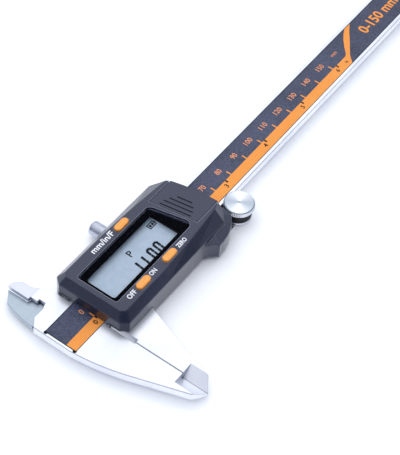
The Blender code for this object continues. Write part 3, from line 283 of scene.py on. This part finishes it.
def roundedBump(tree, value, depthMm, strength, edgeMm):
    edge = addNode(
        tree, "ShaderNodeBevel", {"samples": raySamples["bump"], "Radius": edgeMm / 1000}
    )
    bump = addNode(
        tree,
        "ShaderNodeBump",
        {"Strength": strength, "Distance": depthMm / 1000},
        {"Height": value, "Normal": edge.outputs[0]},
    )
    return bump.outputs[0]


paintedEdgeCosines = (0.90, 0.988)  # how far the normal turns where the painted edge tone is full, and where it ends
paintedRecessShadeOpenness = (0.2, 0.55)  # how open a wall is where the painted recess shade is full, and where it ends


def edgeShare(tree, edgeMm):
    # 0 on the flats and 1 at an edge: how far the rounded normal turns away from the face's own. The edge
    # tone laid there is painted light: a painted highlight where it is paler, painted shade where darker.
    rounded = addNode(
        tree, "ShaderNodeBevel", {"samples": raySamples["edge"], "Radius": edgeMm / 1000}
    )
    face = addNode(tree, "ShaderNodeNewGeometry")
    along = addNode(
        tree,
        "ShaderNodeVectorMath",
        {"operation": "DOT_PRODUCT"},
        {0: rounded.outputs[0], 1: face.outputs["Normal"]},
    )
    full, ended = paintedEdgeCosines
    settings = {"From Min": full, "From Max": ended, "To Min": 1.0, "To Max": 0.0}
    return addNode(tree, "ShaderNodeMapRange", settings, {"Value": along.outputs["Value"]}).outputs[0]


def recessShare(tree, depthMm):
    # 0 in the open and 1 deep in a slot: painted shade, standing in for a metal wall there that mirrors
    # only the other wall.
    openness = addNode(
        tree,
        "ShaderNodeAmbientOcclusion",
        {"samples": raySamples["paintedRecessShade"], "Distance": depthMm / 1000},
    )
    full, ended = paintedRecessShadeOpenness
    settings = {"From Min": full, "From Max": ended, "To Min": 1.0, "To Max": 0.0}
    return addNode(tree, "ShaderNodeMapRange", settings, {"Value": openness.outputs["AO"]}).outputs[0]


groundSteelLook = {
    "pale": "#f1f3f9",
    "dark": "#e6e9f2",
    "cloudMm": 14.0,
    # painted shade along the edges
    "edge": "#a0a6b6",
    "edgeMm": 0.16,
    # painted shade deep in recesses
    "paintedRecessShade": "#2c2f38",
    "paintedRecessShadeMm": 2.0,
    "roughness": (0.30, 0.42),
    "lineSpacingMm": 0.22,  # real grinding lines are about 0.05 mm apart, too fine to show here
    "lineLengths": (60, 1, 1),
    "lineDepthMm": 0.0012,
    "lineStrength": 0.5,
}
# The inside blades are painted darker: painted shade for their sloped and lower faces. For each jaw: the
# blade lies left of this x and above this y, and has this tone.
bladePaintedShade = {
    "beam": (0.0, 19.0, "#d6d9e6"),
    "slider_frame": (-1.0, 11.6, "#aebac5"),
}


def bladeShare(tree, node):
    reach, start, _ = bladePaintedShade[node]
    corner = at(reach, start)
    place = addNode(tree, "ShaderNodeTexCoord").outputs["Object"]
    place = addNode(tree, "ShaderNodeSeparateXYZ", links={"Vector": place})
    left = addNode(
        tree, "ShaderNodeMath", {"operation": "LESS_THAN", 1: corner.x}, {0: place.outputs["X"]}
    )
    above = addNode(
        tree, "ShaderNodeMath", {"operation": "GREATER_THAN", 1: corner.y}, {0: place.outputs["Y"]}
    )
    inside = {0: left.outputs[0], 1: above.outputs[0]}
    return addNode(tree, "ShaderNodeMath", {"operation": "MULTIPLY"}, inside).outputs[0]


def groundSteel(name, node=None):
    # Stainless steel ground along its length: a pale satin metal whose faint lines stretch its highlights.
    look = groundSteelLook
    material, tree = startMaterial(name)
    lines = pattern(tree, look["lineSpacingMm"], look["lineLengths"], detail=3.0)
    clouds = pattern(tree, look["cloudMm"])
    tone = darkToPale(tree, look, spread(tree, clouds, 0.0, 1.0))
    # Painted shade on the inside blades.
    if node in bladePaintedShade:
        tone = toneOver(tree, tone, bladeShare(tree, node), bladePaintedShade[node][2])
    # Painted shade: the steel's edges are darkened.
    tone = toneOver(tree, tone, edgeShare(tree, look["edgeMm"]), look["edge"])
    # Painted shade: the steel is darkened deep in recesses.
    tone = toneOver(tree, tone, recessShare(tree, look["paintedRecessShadeMm"]), look["paintedRecessShade"])
    shader = addNode(
        tree,
        "ShaderNodeBsdfPrincipled",
        {"Metallic": 1.0},
        {
            "Base Color": tone,
            "Roughness": spread(tree, lines, *look["roughness"]),
            "Normal": roundedBump(
                tree, lines, look["lineDepthMm"], look["lineStrength"], look["edgeMm"]
            ),
        },
    )
    closeMaterial(tree, shader.outputs[0])
    return material


turnedSteelLook = {
    "pale": "#eff1f6",
    "dark": "#b3bdc9",
    "paintedHighlightTowards": 29.0,  # degrees from +X: painted highlight along this line and painted shade across it, as on a turned face
    "roughness": (0.20, 0.32),
    "anisotropy": 0.9,
    "ringSpacingMm": 0.888,  # real turning rings are about 0.1 mm apart, too fine to show here
    "ringWander": 0.3,
    "ringDepthMm": 0.004,
    "ringStrength": 0.4,
    "edgeMm": 0.15,
}
waveRadians = 20  # the wave texture turns through these over one unit of its scaled coordinate


def turnedSteel(name, axisPlace):
    # Bright turned steel: its rings draw the highlight out into two pale sectors, which the tone repeats as a
    # painted highlight.
    look = turnedSteelLook
    material, tree = startMaterial(name)
    place = addNode(tree, "ShaderNodeTexCoord").outputs["Object"]
    place = addNode(
        tree,
        "ShaderNodeMapping",
        {"vector_type": "POINT", "Location": [-c for c in axisPlace]},
        {"Vector": place},
    ).outputs[0]
    rings = addNode(
        tree,
        "ShaderNodeTexWave",
        {
            "wave_type": "RINGS",
            "rings_direction": "Z",
            "Scale": 2 * math.pi * 1000 / look["ringSpacingMm"] / waveRadians,
            "Distortion": look["ringWander"],
            "Detail": 1.0,
        },
        {"Vector": place},
    ).outputs["Fac"]
    turnedRound = addNode(tree, "ShaderNodeTangent", {"direction_type": "RADIAL", "axis": "Z"})
    around = addNode(tree, "ShaderNodeTexGradient", {"gradient_type": "RADIAL"}, {"Vector": place})
    twiceRound = addNode(
        tree,
        "ShaderNodeMath",
        {"operation": "MULTIPLY_ADD", 1: 4 * math.pi, 2: -2 * math.radians(look["paintedHighlightTowards"])},
        {0: around.outputs["Fac"]},
    )
    paintedHighlightSectors = addNode(tree, "ShaderNodeMath", {"operation": "COSINE"}, {0: twiceRound.outputs[0]})
    paintedHighlightShare = addNode(
        tree, "ShaderNodeMapRange", {"From Min": -1.0}, {"Value": paintedHighlightSectors.outputs[0]}
    )
    smooth, rough = look["roughness"]
    roughness = addNode(
        tree, "ShaderNodeMapRange", {"To Min": smooth, "To Max": rough}, {"Value": rings}
    )
    shader = addNode(
        tree,
        "ShaderNodeBsdfPrincipled",
        {"Metallic": 1.0, "Anisotropic": look["anisotropy"]},
        {
            "Base Color": darkToPale(tree, look, paintedHighlightShare.outputs[0]),
            "Roughness": roughness.outputs[0],
            "Normal": roundedBump(
                tree, rings, look["ringDepthMm"], look["ringStrength"], look["edgeMm"]
            ),
            "Tangent": turnedRound.outputs[0],
        },
    )
    closeMaterial(tree, shader.outputs[0])
    return material


smallMetalLooks = {
    "platedScrewSteel": {"pale": "#c6cad6", "dark": "#b5bac8", "roughness": (0.34, 0.42), "cloudMm": 1.6},
    "nickelPlate": {"pale": "#e3dfd6", "dark": "#c8c2b4", "roughness": (0.22, 0.36), "cloudMm": 0.6},
    "goldenBrassPlate": {"pale": "#e2c27e", "dark": "#c39c55", "roughness": (0.25, 0.4), "cloudMm": 0.6},
}
platingRelief = {"depthMm": 0.004, "strength": 0.3, "edgeMm": 0.08}


def smallMetal(name):
    # Plated small parts: bright, with cloudy patches where the plating varies.
    look = smallMetalLooks[name]
    material, tree = startMaterial(name)
    clouds = pattern(tree, look["cloudMm"], detail=3.0)
    shader = addNode(
        tree,
        "ShaderNodeBsdfPrincipled",
        {"Metallic": 1.0},
        {
            "Base Color": darkToPale(tree, look, spread(tree, clouds, 0.0, 1.0)),
            "Roughness": spread(tree, clouds, *look["roughness"]),
            "Normal": roundedBump(tree, clouds, *platingRelief.values()),
        },
    )
    closeMaterial(tree, shader.outputs[0])
    return material


# Real moulded grain and ink grain are 0.05 to 0.2 mm across, too fine to show here, so each grain below is as
# coarse as it needs to show.
# Each look's edge tone is painted on its edges: a painted highlight where it is paler than the face, painted
# shade where it is darker.
plasticLooks = {
    # Glass-filled ABS from a spark-eroded mould: nearly black, a fine grain under a clear shine, and a
    # painted highlight on its edges.
    "grainedAbs": {
        "pale": "#212437", "dark": "#0f111d", "edge": "#9ca1b1", "roughness": (0.30, 0.42), "grainMm": 0.5,
        "depthMm": 0.014, "edgeMm": 0.42, "gloss": 0.68, "tint": "#cad5ff", "coat": 0.55,
        "coatRoughness": 0.22,
    },
    # Gloss ABS buttons: smooth, saturated, with a soft highlight and a rim darkened with painted shade.
    "orangeGlossAbs": {
        "pale": "#ffb258", "dark": "#ffa340", "edge": "#dd7620", "roughness": (0.22, 0.32), "grainMm": 0.9,
        "depthMm": 0.004, "edgeMm": 0.45, "gloss": 0.45,
    },
    # Plain moulding round the display, dull and nearly black.
    "greyMouldedAbs": {
        "pale": "#1c1d24", "dark": "#131419", "edge": "#22232b", "roughness": (0.45, 0.6), "grainMm": 0.3,
        "depthMm": 0.02, "edgeMm": 0.1, "gloss": 0.4,
    },
    # Polyester film printed on its back: a faint sparkle of grain in the ink, a broad shine, and painted
    # shade along its edges.
    "printedFilm": {
        "pale": "#4f5772", "dark": "#242a42", "edge": "#1c1e2a", "roughness": (0.38, 0.48), "grainMm": 0.5,
        "depthMm": 0.005, "edgeMm": 0.12, "gloss": 0.45,
    },
    # Screen-printed inks: even, flat and a little duller than what they lie on.
    "orangePrint": {
        "pale": "#ffa850", "dark": "#fd983a", "edge": "#f79436", "roughness": (0.42, 0.52), "grainMm": 0.5,
        "depthMm": 0.006, "edgeMm": 0.01, "gloss": 0.25,
    },
    "darkPrint": {
        "pale": "#33231e", "dark": "#241815", "edge": "#33231e", "roughness": (0.4, 0.5), "grainMm": 0.8,
        "depthMm": 0.004, "edgeMm": 0.01, "gloss": 0.3,
    },
    "peachPrint": {
        "pale": "#f3a378", "dark": "#e79060", "edge": "#e79060", "roughness": (0.4, 0.5), "grainMm": 0.8,
        "depthMm": 0.004, "edgeMm": 0.01, "gloss": 0.3,
    },
    "whitePrint": {
        "pale": "#ffffff", "dark": "#f0f2f6", "edge": "#f0f2f6", "roughness": (0.45, 0.55), "grainMm": 0.6,
        "depthMm": 0.002, "edgeMm": 0.01, "gloss": 0.4,
    },
    # Ink on the window's underside: it gives almost no shine of its own, so the pane's shine shows alone.
    "blackWindowPrint": {
        "pale": "#07070c", "dark": "#030307", "edge": "#07070c", "roughness": (0.5, 0.55), "grainMm": 9.0,
        "depthMm": 0.0002, "edgeMm": 0.01, "gloss": 0.02,
    },
    # Solder resist: glossy green with a slight orange peel.
    "circuitBoardGreen": {
        "pale": "#1f6b3f", "dark": "#175532", "edge": "#3d7d56", "roughness": (0.3, 0.45), "grainMm": 1.2,
        "depthMm": 0.02, "edgeMm": 0.05, "gloss": 0.5,
    },
    # Resin poured over the chip: black, glossy and slightly wavy.
    "pottingResin": {
        "pale": "#17171a", "dark": "#0e0e10", "edge": "#222226", "roughness": (0.25, 0.4), "grainMm": 1.0,
        "depthMm": 0.02, "edgeMm": 0.1, "gloss": 0.5,
    },
    # Moulded rubber: dull black with a fine grain.
    "nitrileRubber": {
        "pale": "#1d1d20", "dark": "#121214", "edge": "#26262a", "roughness": (0.6, 0.8), "grainMm": 0.25,
        "depthMm": 0.03, "edgeMm": 0.1, "gloss": 0.35,
    },
    # Polarised glass over a grey reflector: pale, cool and matt.
    "liquidCrystalGlass": {
        "pale": "#bdcad2", "dark": "#b2c0ca", "edge": "#8f9ba8", "roughness": (0.3, 0.4), "grainMm": 2.0,
        "depthMm": 0.002, "edgeMm": 0.02, "gloss": 0.3,
    },
    # A segment that is switched on: bluish black, as matt as the glass.
    "liquidCrystalBlack": {
        "pale": "#111926", "dark": "#0b121e", "edge": "#111926", "roughness": (0.35, 0.45), "grainMm": 1.5,
        "depthMm": 0.002, "edgeMm": 0.01, "gloss": 0.2,
    },
}
# The same moulding for the battery door, whose grip grooves and gap get painted shade on their edges
# instead of the painted highlight.
plasticLooks["grainedAbsDoor"] = {**plasticLooks["grainedAbs"], "edge": "#08090f", "edgeMm": 0.30}
plasticGrain = {"share": 0.7, "cloudShare": 0.3, "cloudsPerGrain": 30, "strength": 0.5}


def plastic(name):
    look = plasticLooks[name]
    material, tree = startMaterial(name)
    grain = pattern(tree, look["grainMm"], detail=3.0)
    clouds = pattern(tree, look["grainMm"] * plasticGrain["cloudsPerGrain"])
    tone = addNode(
        tree,
        "ShaderNodeMath",
        {"operation": "ADD"},
        {
            0: spread(tree, grain, 0.0, plasticGrain["share"]),
            1: spread(tree, clouds, 0.0, plasticGrain["cloudShare"]),
        },
    )
    colour = darkToPale(tree, look, tone.outputs[0])
    shader = addNode(
        tree,
        "ShaderNodeBsdfPrincipled",
        {
            "Specular IOR Level": look["gloss"],
            "Specular Tint": linearColour(look.get("tint", "#ffffff")),
            "Coat Weight": look.get("coat", 0.0),
            "Coat Roughness": look.get("coatRoughness", 0.1),
        },
        {
            # The edge tone: painted highlight or painted shade on the edges, as the look gives it.
            "Base Color": toneOver(tree, colour, edgeShare(tree, look["edgeMm"]), look["edge"]),
            "Roughness": spread(tree, grain, *look["roughness"]),
            "Normal": roundedBump(
                tree, grain, look["depthMm"], plasticGrain["strength"], look["edgeMm"]
            ),
        },
    )
    closeMaterial(tree, shader.outputs[0])
    return material


clearWindowLook = {"ior": 1.03, "roughness": (0.02, 0.06), "tint": "#fcfdff", "hazeMm": 6.0}


def clearWindow(name):
    # Polished acrylic: nearly invisible, with a weak clean reflection that grows at a glancing view.
    look = clearWindowLook
    material, tree = startMaterial(name)
    haze = pattern(tree, look["hazeMm"])
    through = addNode(tree, "ShaderNodeBsdfTransparent", {"Color": linearColour(look["tint"])})
    roughness = spread(tree, haze, *look["roughness"])
    mirror = addNode(tree, "ShaderNodeBsdfGlossy", links={"Roughness": roughness})
    share = addNode(tree, "ShaderNodeFresnel", {"IOR": look["ior"]})
    pane = addNode(
        tree,
        "ShaderNodeMixShader",
        links={0: share.outputs[0], 1: through.outputs[0], 2: mirror.outputs[0]},
    )
    closeMaterial(tree, pane.outputs[0])
    return material


rollerLow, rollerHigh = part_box("thumb_roller")
rollerAxis = ((rollerLow.x + rollerHigh.x) / 2, (rollerLow.y + rollerHigh.y) / 2, 0.0)
finishes = {name: plastic(name) for name in plasticLooks}
finishes.update({name: smallMetal(name) for name in smallMetalLooks})
finishes["groundSteel"] = groundSteel("groundStainlessSteel")
finishes["fixedJawSteel"] = groundSteel("groundSteelFixedJaw", "beam")
finishes["movingJawSteel"] = groundSteel("groundSteelMovingJaw", "slider_frame")
finishes["turnedSteel"] = turnedSteel("turnedSteelRoller", rollerAxis)
finishes["clearWindow"] = clearWindow("polishedAcrylic")

finishOfNode = {
    "beam": "fixedJawSteel",
    "slider_frame": "movingJawSteel",
    "depth_rod": "groundSteel",
    "end_stop_plate": "groundSteel",
    "roller_axle": "platedScrewSteel",
    "thumb_roller": "turnedSteel",
    "lock_screw": "platedScrewSteel",
    "roller_tyre": "nitrileRubber",
    "gib_strip": "goldenBrassPlate",
    "front_cover": "grainedAbs",
    "battery_cover": "grainedAbsDoor",
    "display_window": "clearWindow",
    "lcd_frame": "greyMouldedAbs",
    "lcd_glass": "liquidCrystalGlass",
    "contact_rubber_1": "nitrileRubber",
    "contact_rubber_2": "nitrileRubber",
    "circuit_board": "circuitBoardGreen",
    "encoder_strip": "circuitBoardGreen",
    "scale_overlay": "printedFilm",
    "controller_chip": "pottingResin",
}
for name, node in nodes.items():
    if name in finishOfNode:
        finish = finishOfNode[name]
    elif "screw" in name:
        finish = "platedScrewSteel"
    elif name.endswith("_button"):
        finish = "orangeGlossAbs"
    else:
        finish = "nickelPlate"
    node.data.materials.clear()
    node.data.materials.append(finishes[finish])
print("finishes are on the", len(nodes), "CAD nodes")


def flatShape(name, outline, low, high, finish):
    bpy.ops.object.select_all(action="DESELECT")
    bpy.ops.mesh.primitive_circle_add(vertices=len(outline), radius=0.001, fill_type="NGON")
    shape = bpy.context.object
    shape.name = name
    for vertex, (x, y) in zip(shape.data.vertices, outline):
        vertex.co = at(x, y, low)
    bpy.ops.object.mode_set(mode="EDIT")
    bpy.ops.mesh.select_all(action="SELECT")
    bpy.ops.mesh.extrude_region_move(TRANSFORM_OT_translate={"value": (0, 0, (high - low) / 1000)})
    bpy.ops.mesh.select_all(action="SELECT")
    bpy.ops.mesh.normals_make_consistent(inside=False)
    bpy.ops.object.mode_set(mode="OBJECT")
    shape.data.materials.append(finishes[finish])
    return shape


def box(x0, x1, y0, y1):
    return [(x0, y0), (x1, y0), (x1, y1), (x0, y1)]


def joined(name, shapes):
    bpy.ops.object.select_all(action="DESELECT")
    for shape in shapes:
        shape.select_set(True)
    bpy.context.view_layer.objects.active = shapes[0]
    bpy.ops.object.join()
    shapes[0].name = name
    return shapes[0]


fontLook = {
    "capShare": 0.69,  # the font's capitals stand this share of its size
    "curveSteps": 3,
    "weld": 0.000001,
}


def flatText(words, x, y, low, high, capHeight, finish, bold=0.0, width=None, align="CENTER"):
    bpy.ops.object.select_all(action="DESELECT")
    bpy.ops.object.text_add(location=(0, 0, 0))
    text = bpy.context.object
    text.data.body = words
    text.data.size = capHeight / 1000 / fontLook["capShare"]
    text.data.align_x = align
    text.data.align_y = "CENTER"
    text.data.resolution_u = fontLook["curveSteps"]
    text.data.offset = bold / 1000
    text.data.extrude = (high - low) / 2000
    bpy.ops.object.convert(target="MESH")
    if width:
        text.scale.x = width / 1000 / text.dimensions.x
    text.location = at(x, y, (low + high) / 2)
    bpy.ops.object.transform_apply(location=True, rotation=True, scale=True)
    bpy.ops.object.mode_set(mode="EDIT")
    bpy.ops.mesh.select_all(action="SELECT")
    bpy.ops.mesh.remove_doubles(threshold=fontLook["weld"])
    bpy.ops.mesh.normals_make_consistent(inside=False)
    bpy.ops.object.mode_set(mode="OBJECT")
    text.data.materials.append(finishes[finish])
    return text


filmLow, filmHigh = [fromZero(corner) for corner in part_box("scale_overlay")]
scaleLook = {
    "rim": 0.05,  # bare film left round the print
    "ink": 0.02,
    "lift": 0.005,  # from the film to its ink, and from one ink to the next
    "lastCentimetre": 15,
    "lastInch": 6,
    "bandTop": -2.35,
    "tickTop": -0.2,
    "tickWidth": 0.55,
    "inchTickLow": -3.6,
    "inchTickWidth": 0.75,
    "numberMiddle": 2.0,
    "numberHeight": 2.1,
    "figureWidth": 1.32,
    "numberBefore": 0.7,  # how far before its tick a number ends
    "numberBold": 0.05,
    "inchNumberMiddle": -4.3,
    "inchNumberHeight": 1.8,
    "inchNumberBefore": 1.7,  # how far before its tick an inch number has its middle
    "inchNumberBold": 0.06,
    # The orange sweep that ends the scale: it leaves the band, goes out on its far side, ends at the film's
    # edge and comes back on its near side.
    "sweepStart": 158.0,
    "sweepOut": ((161.0, -3.5), (164.5, -1.2), (168.3, 1.2), (172.3, 3.9)),
    "sweepEnd": (176.5, 172.6),
    "sweepBack": ((169.6, 5.0), (166.7, 3.2), (163.4, 0.7), (160.9, -1.5), (159.4, -2.35)),
    # Words: middle x, middle y, capital height and boldness.
    "mm": (157.4, 2.0, 1.6, 0.03),
    "0-150 mm": (188.6, -0.1, 4.3, 0.14),
    "in": (157.0, -4.3, 1.4, 0.02),
}


def bandOutline():
    look = scaleLook
    left, bandLow, filmEdge = filmLow.x + look["rim"], filmLow.y + look["rim"], filmHigh.y - look["rim"]
    outline = [(left, bandLow), (look["sweepStart"], bandLow), *look["sweepOut"]]
    outline += [(x, filmEdge) for x in look["sweepEnd"]]
    outline += look["sweepBack"]
    half = look["tickWidth"] / 2
    for centimetre in range(look["lastCentimetre"], -1, -1):
        x = centimetre * 10
        outline += [(x + half, look["bandTop"]), (x + half, look["tickTop"])]
        outline += [(x - half, look["tickTop"]), (x - half, look["bandTop"])]
    return outline + [(left, look["bandTop"])]


def scaleWord(words, low, high, finish):
    x, y, height, bold = scaleLook[words]
    return flatText(words, x, y, low, high, height, finish, bold)


def addScalePrint():
    look = scaleLook
    low = filmHigh.z + look["lift"]
    high = low + look["ink"]
    band = flatShape("orangeScaleBand", bandOutline(), low, high, "orangePrint")
    overLow = high + look["lift"]
    overHigh = overLow + look["ink"]
    half = look["inchTickWidth"] / 2
    ticks = []
    for inch in range(look["lastInch"] + 1):
        x = inch * 25.4
        tick = box(x - half, x + half, look["inchTickLow"], look["bandTop"])
        ticks.append(flatShape("inchTick", tick, overLow, overHigh, "darkPrint"))
    inchTicks = joined("inchTicks", ticks)
    numbers = []
    for centimetre in range(look["lastCentimetre"] + 1):
        words = str(centimetre * 10)
        x = centimetre * 10 - look["numberBefore"]
        place = (x, look["numberMiddle"], low, high, look["numberHeight"])
        width = look["figureWidth"] * len(words)
        numbers.append(flatText(words, *place, "peachPrint", look["numberBold"], width, "RIGHT"))
    numbers.append(scaleWord("mm", low, high, "peachPrint"))
    numbers.append(scaleWord("0-150 mm", low, high, "orangePrint"))
    numerals = joined("millimetreNumbers", numbers)
    inches = []
    for inch in range(look["lastInch"] + 1):
        x = inch * 25.4 - look["inchNumberBefore"]
        place = (x, look["inchNumberMiddle"], overLow, overHigh, look["inchNumberHeight"])
        inches.append(flatText(str(inch), *place, "darkPrint", look["inchNumberBold"]))
    inches.append(scaleWord("in", overLow, overHigh, "darkPrint"))
    inchNumerals = joined("inchNumbers", inches)
    for piece in (band, inchTicks, numerals, inchNumerals):
        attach(piece, "beam_body")


addScalePrint()
print("scale printed")

paneLow, paneHigh = [fromZero(corner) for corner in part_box("display_window")]
paneLook = {
    "left": 5.4,
    "right": 41.5,
    "low": -6.6,
    "high": 5.3,
    "corner": 1.0,
    "cornerSteps": 5,
    "ink": 0.06,
    "gap": 0.03,  # between the pane and the printed border under it
    "edgeIn": 0.15,
    "slant": 0.226,  # how far the pane's far end leans back over each millimetre of its height
    "cutterHeight": 1.0,
}


def addOpening(look):
    bpy.ops.object.select_all(action="DESELECT")
    bpy.ops.mesh.primitive_cube_add(size=0.001)
    opening = bpy.context.object
    height = look["cutterHeight"]
    opening.dimensions = Vector((look["right"] - look["left"], look["high"] - look["low"], height)) / 1000
    middle = ((look["right"] + look["left"]) / 2, (look["high"] + look["low"]) / 2)
    opening.location = at(*middle, paneLow.z)
    bpy.ops.object.transform_apply(location=True, rotation=True, scale=True)
    bpy.ops.object.mode_set(mode="EDIT")
    bpy.ops.mesh.select_mode(type="EDGE")
    bpy.ops.mesh.select_all(action="DESELECT")
    bpy.ops.object.mode_set(mode="OBJECT")
    for edge in opening.data.edges:
        ends = [opening.data.vertices[v].co for v in edge.vertices]
        edge.select = abs(ends[0].z - ends[1].z) > height / 2000
    bpy.ops.object.mode_set(mode="EDIT")
    bpy.ops.mesh.bevel(offset=look["corner"] / 1000, segments=look["cornerSteps"])
    bpy.ops.object.mode_set(mode="OBJECT")
    return opening


def addWindowMask():
    look = paneLook
    inset = look["edgeIn"]
    left, low, high = paneLow.x + inset, paneLow.y + inset, paneHigh.y - inset
    right = paneHigh.x - inset + look["slant"] * low  # where the slanted end crosses the centre line
    outline = [
        (left, low),
        (right - look["slant"] * low, low),
        (right - look["slant"] * high, high),
        (left, high),
    ]
    top = paneLow.z - look["gap"]
    mask = flatShape("windowBorderPrint", outline, top - look["ink"], top, "blackWindowPrint")
    opening = addOpening(look)
    cut = mask.modifiers.new("opening", "BOOLEAN")
    cut.operation = "DIFFERENCE"
    cut.solver = "EXACT"
    cut.object = opening
    bpy.ops.object.select_all(action="DESELECT")
    mask.select_set(True)
    bpy.context.view_layer.objects.active = mask
    bpy.ops.object.modifier_apply(modifier=cut.name)
    bpy.data.objects.remove(opening)
    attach(mask, "slider_body")


addWindowMask()

displayLook = {
    "low": 5.51,
    "ink": 0.02,
    "digitHeight": 5.5,
    "digitWidth": 2.7,
    "stroke": 0.95,
    "tip": 0.25,  # how far a bar's pointed end reaches, as a share of half its stroke
    "lean": 0.10,
    "digitsLow": -7.0,
    "digitsLeft": (19.9, 23.2, 28.0, 31.6),
    "reading": "1100",
    "point": (26.9, 27.5, -6.95, -6.35),  # low and high x, low and high y
    "letter": ("P", 24.5, 1.6, 2.7, 0.06),  # letter, middle x, middle y, capital height, boldness
    "cellSign": (  # the battery sign's bars: low and high x, low and high y
        (37.5, 41.0, 4.4, 4.8),
        (37.5, 41.0, 2.5, 2.9),
        (37.5, 37.9, 2.9, 4.4),
        (40.6, 41.0, 2.9, 4.4),
        (38.15, 39.1, 3.1, 4.2),
        (39.35, 40.35, 3.1, 4.2),
        (41.0, 41.3, 3.2, 4.1),
    ),
}
# Which bars of a digit are on: a at the top, b and c down the right, d at the bottom, e and f up the left,
# g across the middle.
barsOfDigit = {
    "0": "abcdef",
    "1": "bc",
    "2": "abdeg",
    "3": "abcdg",
    "4": "bcfg",
    "5": "acdfg",
    "6": "acdefg",
    "7": "abc",
    "8": "abcdefg",
    "9": "abcdfg",
}


def barOutline(bar):
    # A long hexagon with pointed ends, before the digit leans.
    look = displayLook
    half = look["stroke"] / 2
    tip = half * look["tip"]
    left, right = half, look["digitWidth"] - half
    low, middle, high = half, look["digitHeight"] / 2, look["digitHeight"] - half
    if bar in "adg":
        y = {"a": high, "d": low, "g": middle}[bar]
        upper = [(right, y), (right - tip, y + half), (left + tip, y + half)]
        return [(left, y), (left + tip, y - half), (right - tip, y - half), *upper]
    x = right if bar in "bc" else left
    y0, y1 = (middle, high) if bar in "bf" else (low, middle)
    leftSide = [(x, y1), (x - half, y1 - tip), (x - half, y0 + tip)]
    return [(x, y0), (x + half, y0 + tip), (x + half, y1 - tip), *leftSide]


def addDisplay():
    look = displayLook
    low, high, black = look["low"], look["low"] + look["ink"], "liquidCrystalBlack"
    shapes = []
    for digit, left in zip(look["reading"], look["digitsLeft"]):
        for bar in barsOfDigit[digit]:
            outline = [(left + x + look["lean"] * y, look["digitsLow"] + y) for x, y in barOutline(bar)]
            shapes.append(flatShape("segment", outline, low, high, black))
    shapes.append(flatShape("point", box(*look["point"]), low, high, black))
    letter, x, y, height, bold = look["letter"]
    shapes.append(flatText(letter, x, y, low, high, height, black, bold))
    for bar in look["cellSign"]:
        shapes.append(flatShape("cellSign", box(*bar), low, high, black))
    shown = joined("displaySegments", shapes)
    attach(shown, "slider_body")


addDisplay()

coverWords = {
    "low": 8.303,
    "ink": 0.02,
    "bold": 0.06,
    "words": (  # word, middle x, middle y, capital height, width
        ("mm/in/F", 20.95, 10.8, 2.25, 11.3),
        ("OFF", 9.8, -10.4, 1.8, 4.0),
        ("ON", 21.6, -10.3, 1.7, 3.1),
        ("ZERO", 37.7, -10.4, 1.6, 4.8),
    ),
}


def addCoverWords():
    look = coverWords
    low, high = look["low"], look["low"] + look["ink"]
    words = [
        flatText(word, x, y, low, high, height, "whitePrint", look["bold"], width)
        for word, x, y, height, width in look["words"]
    ]
    printed = joined("coverWords", words)
    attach(printed, "slider_body")


addCoverWords()
print("window border, display and cover words are in place")
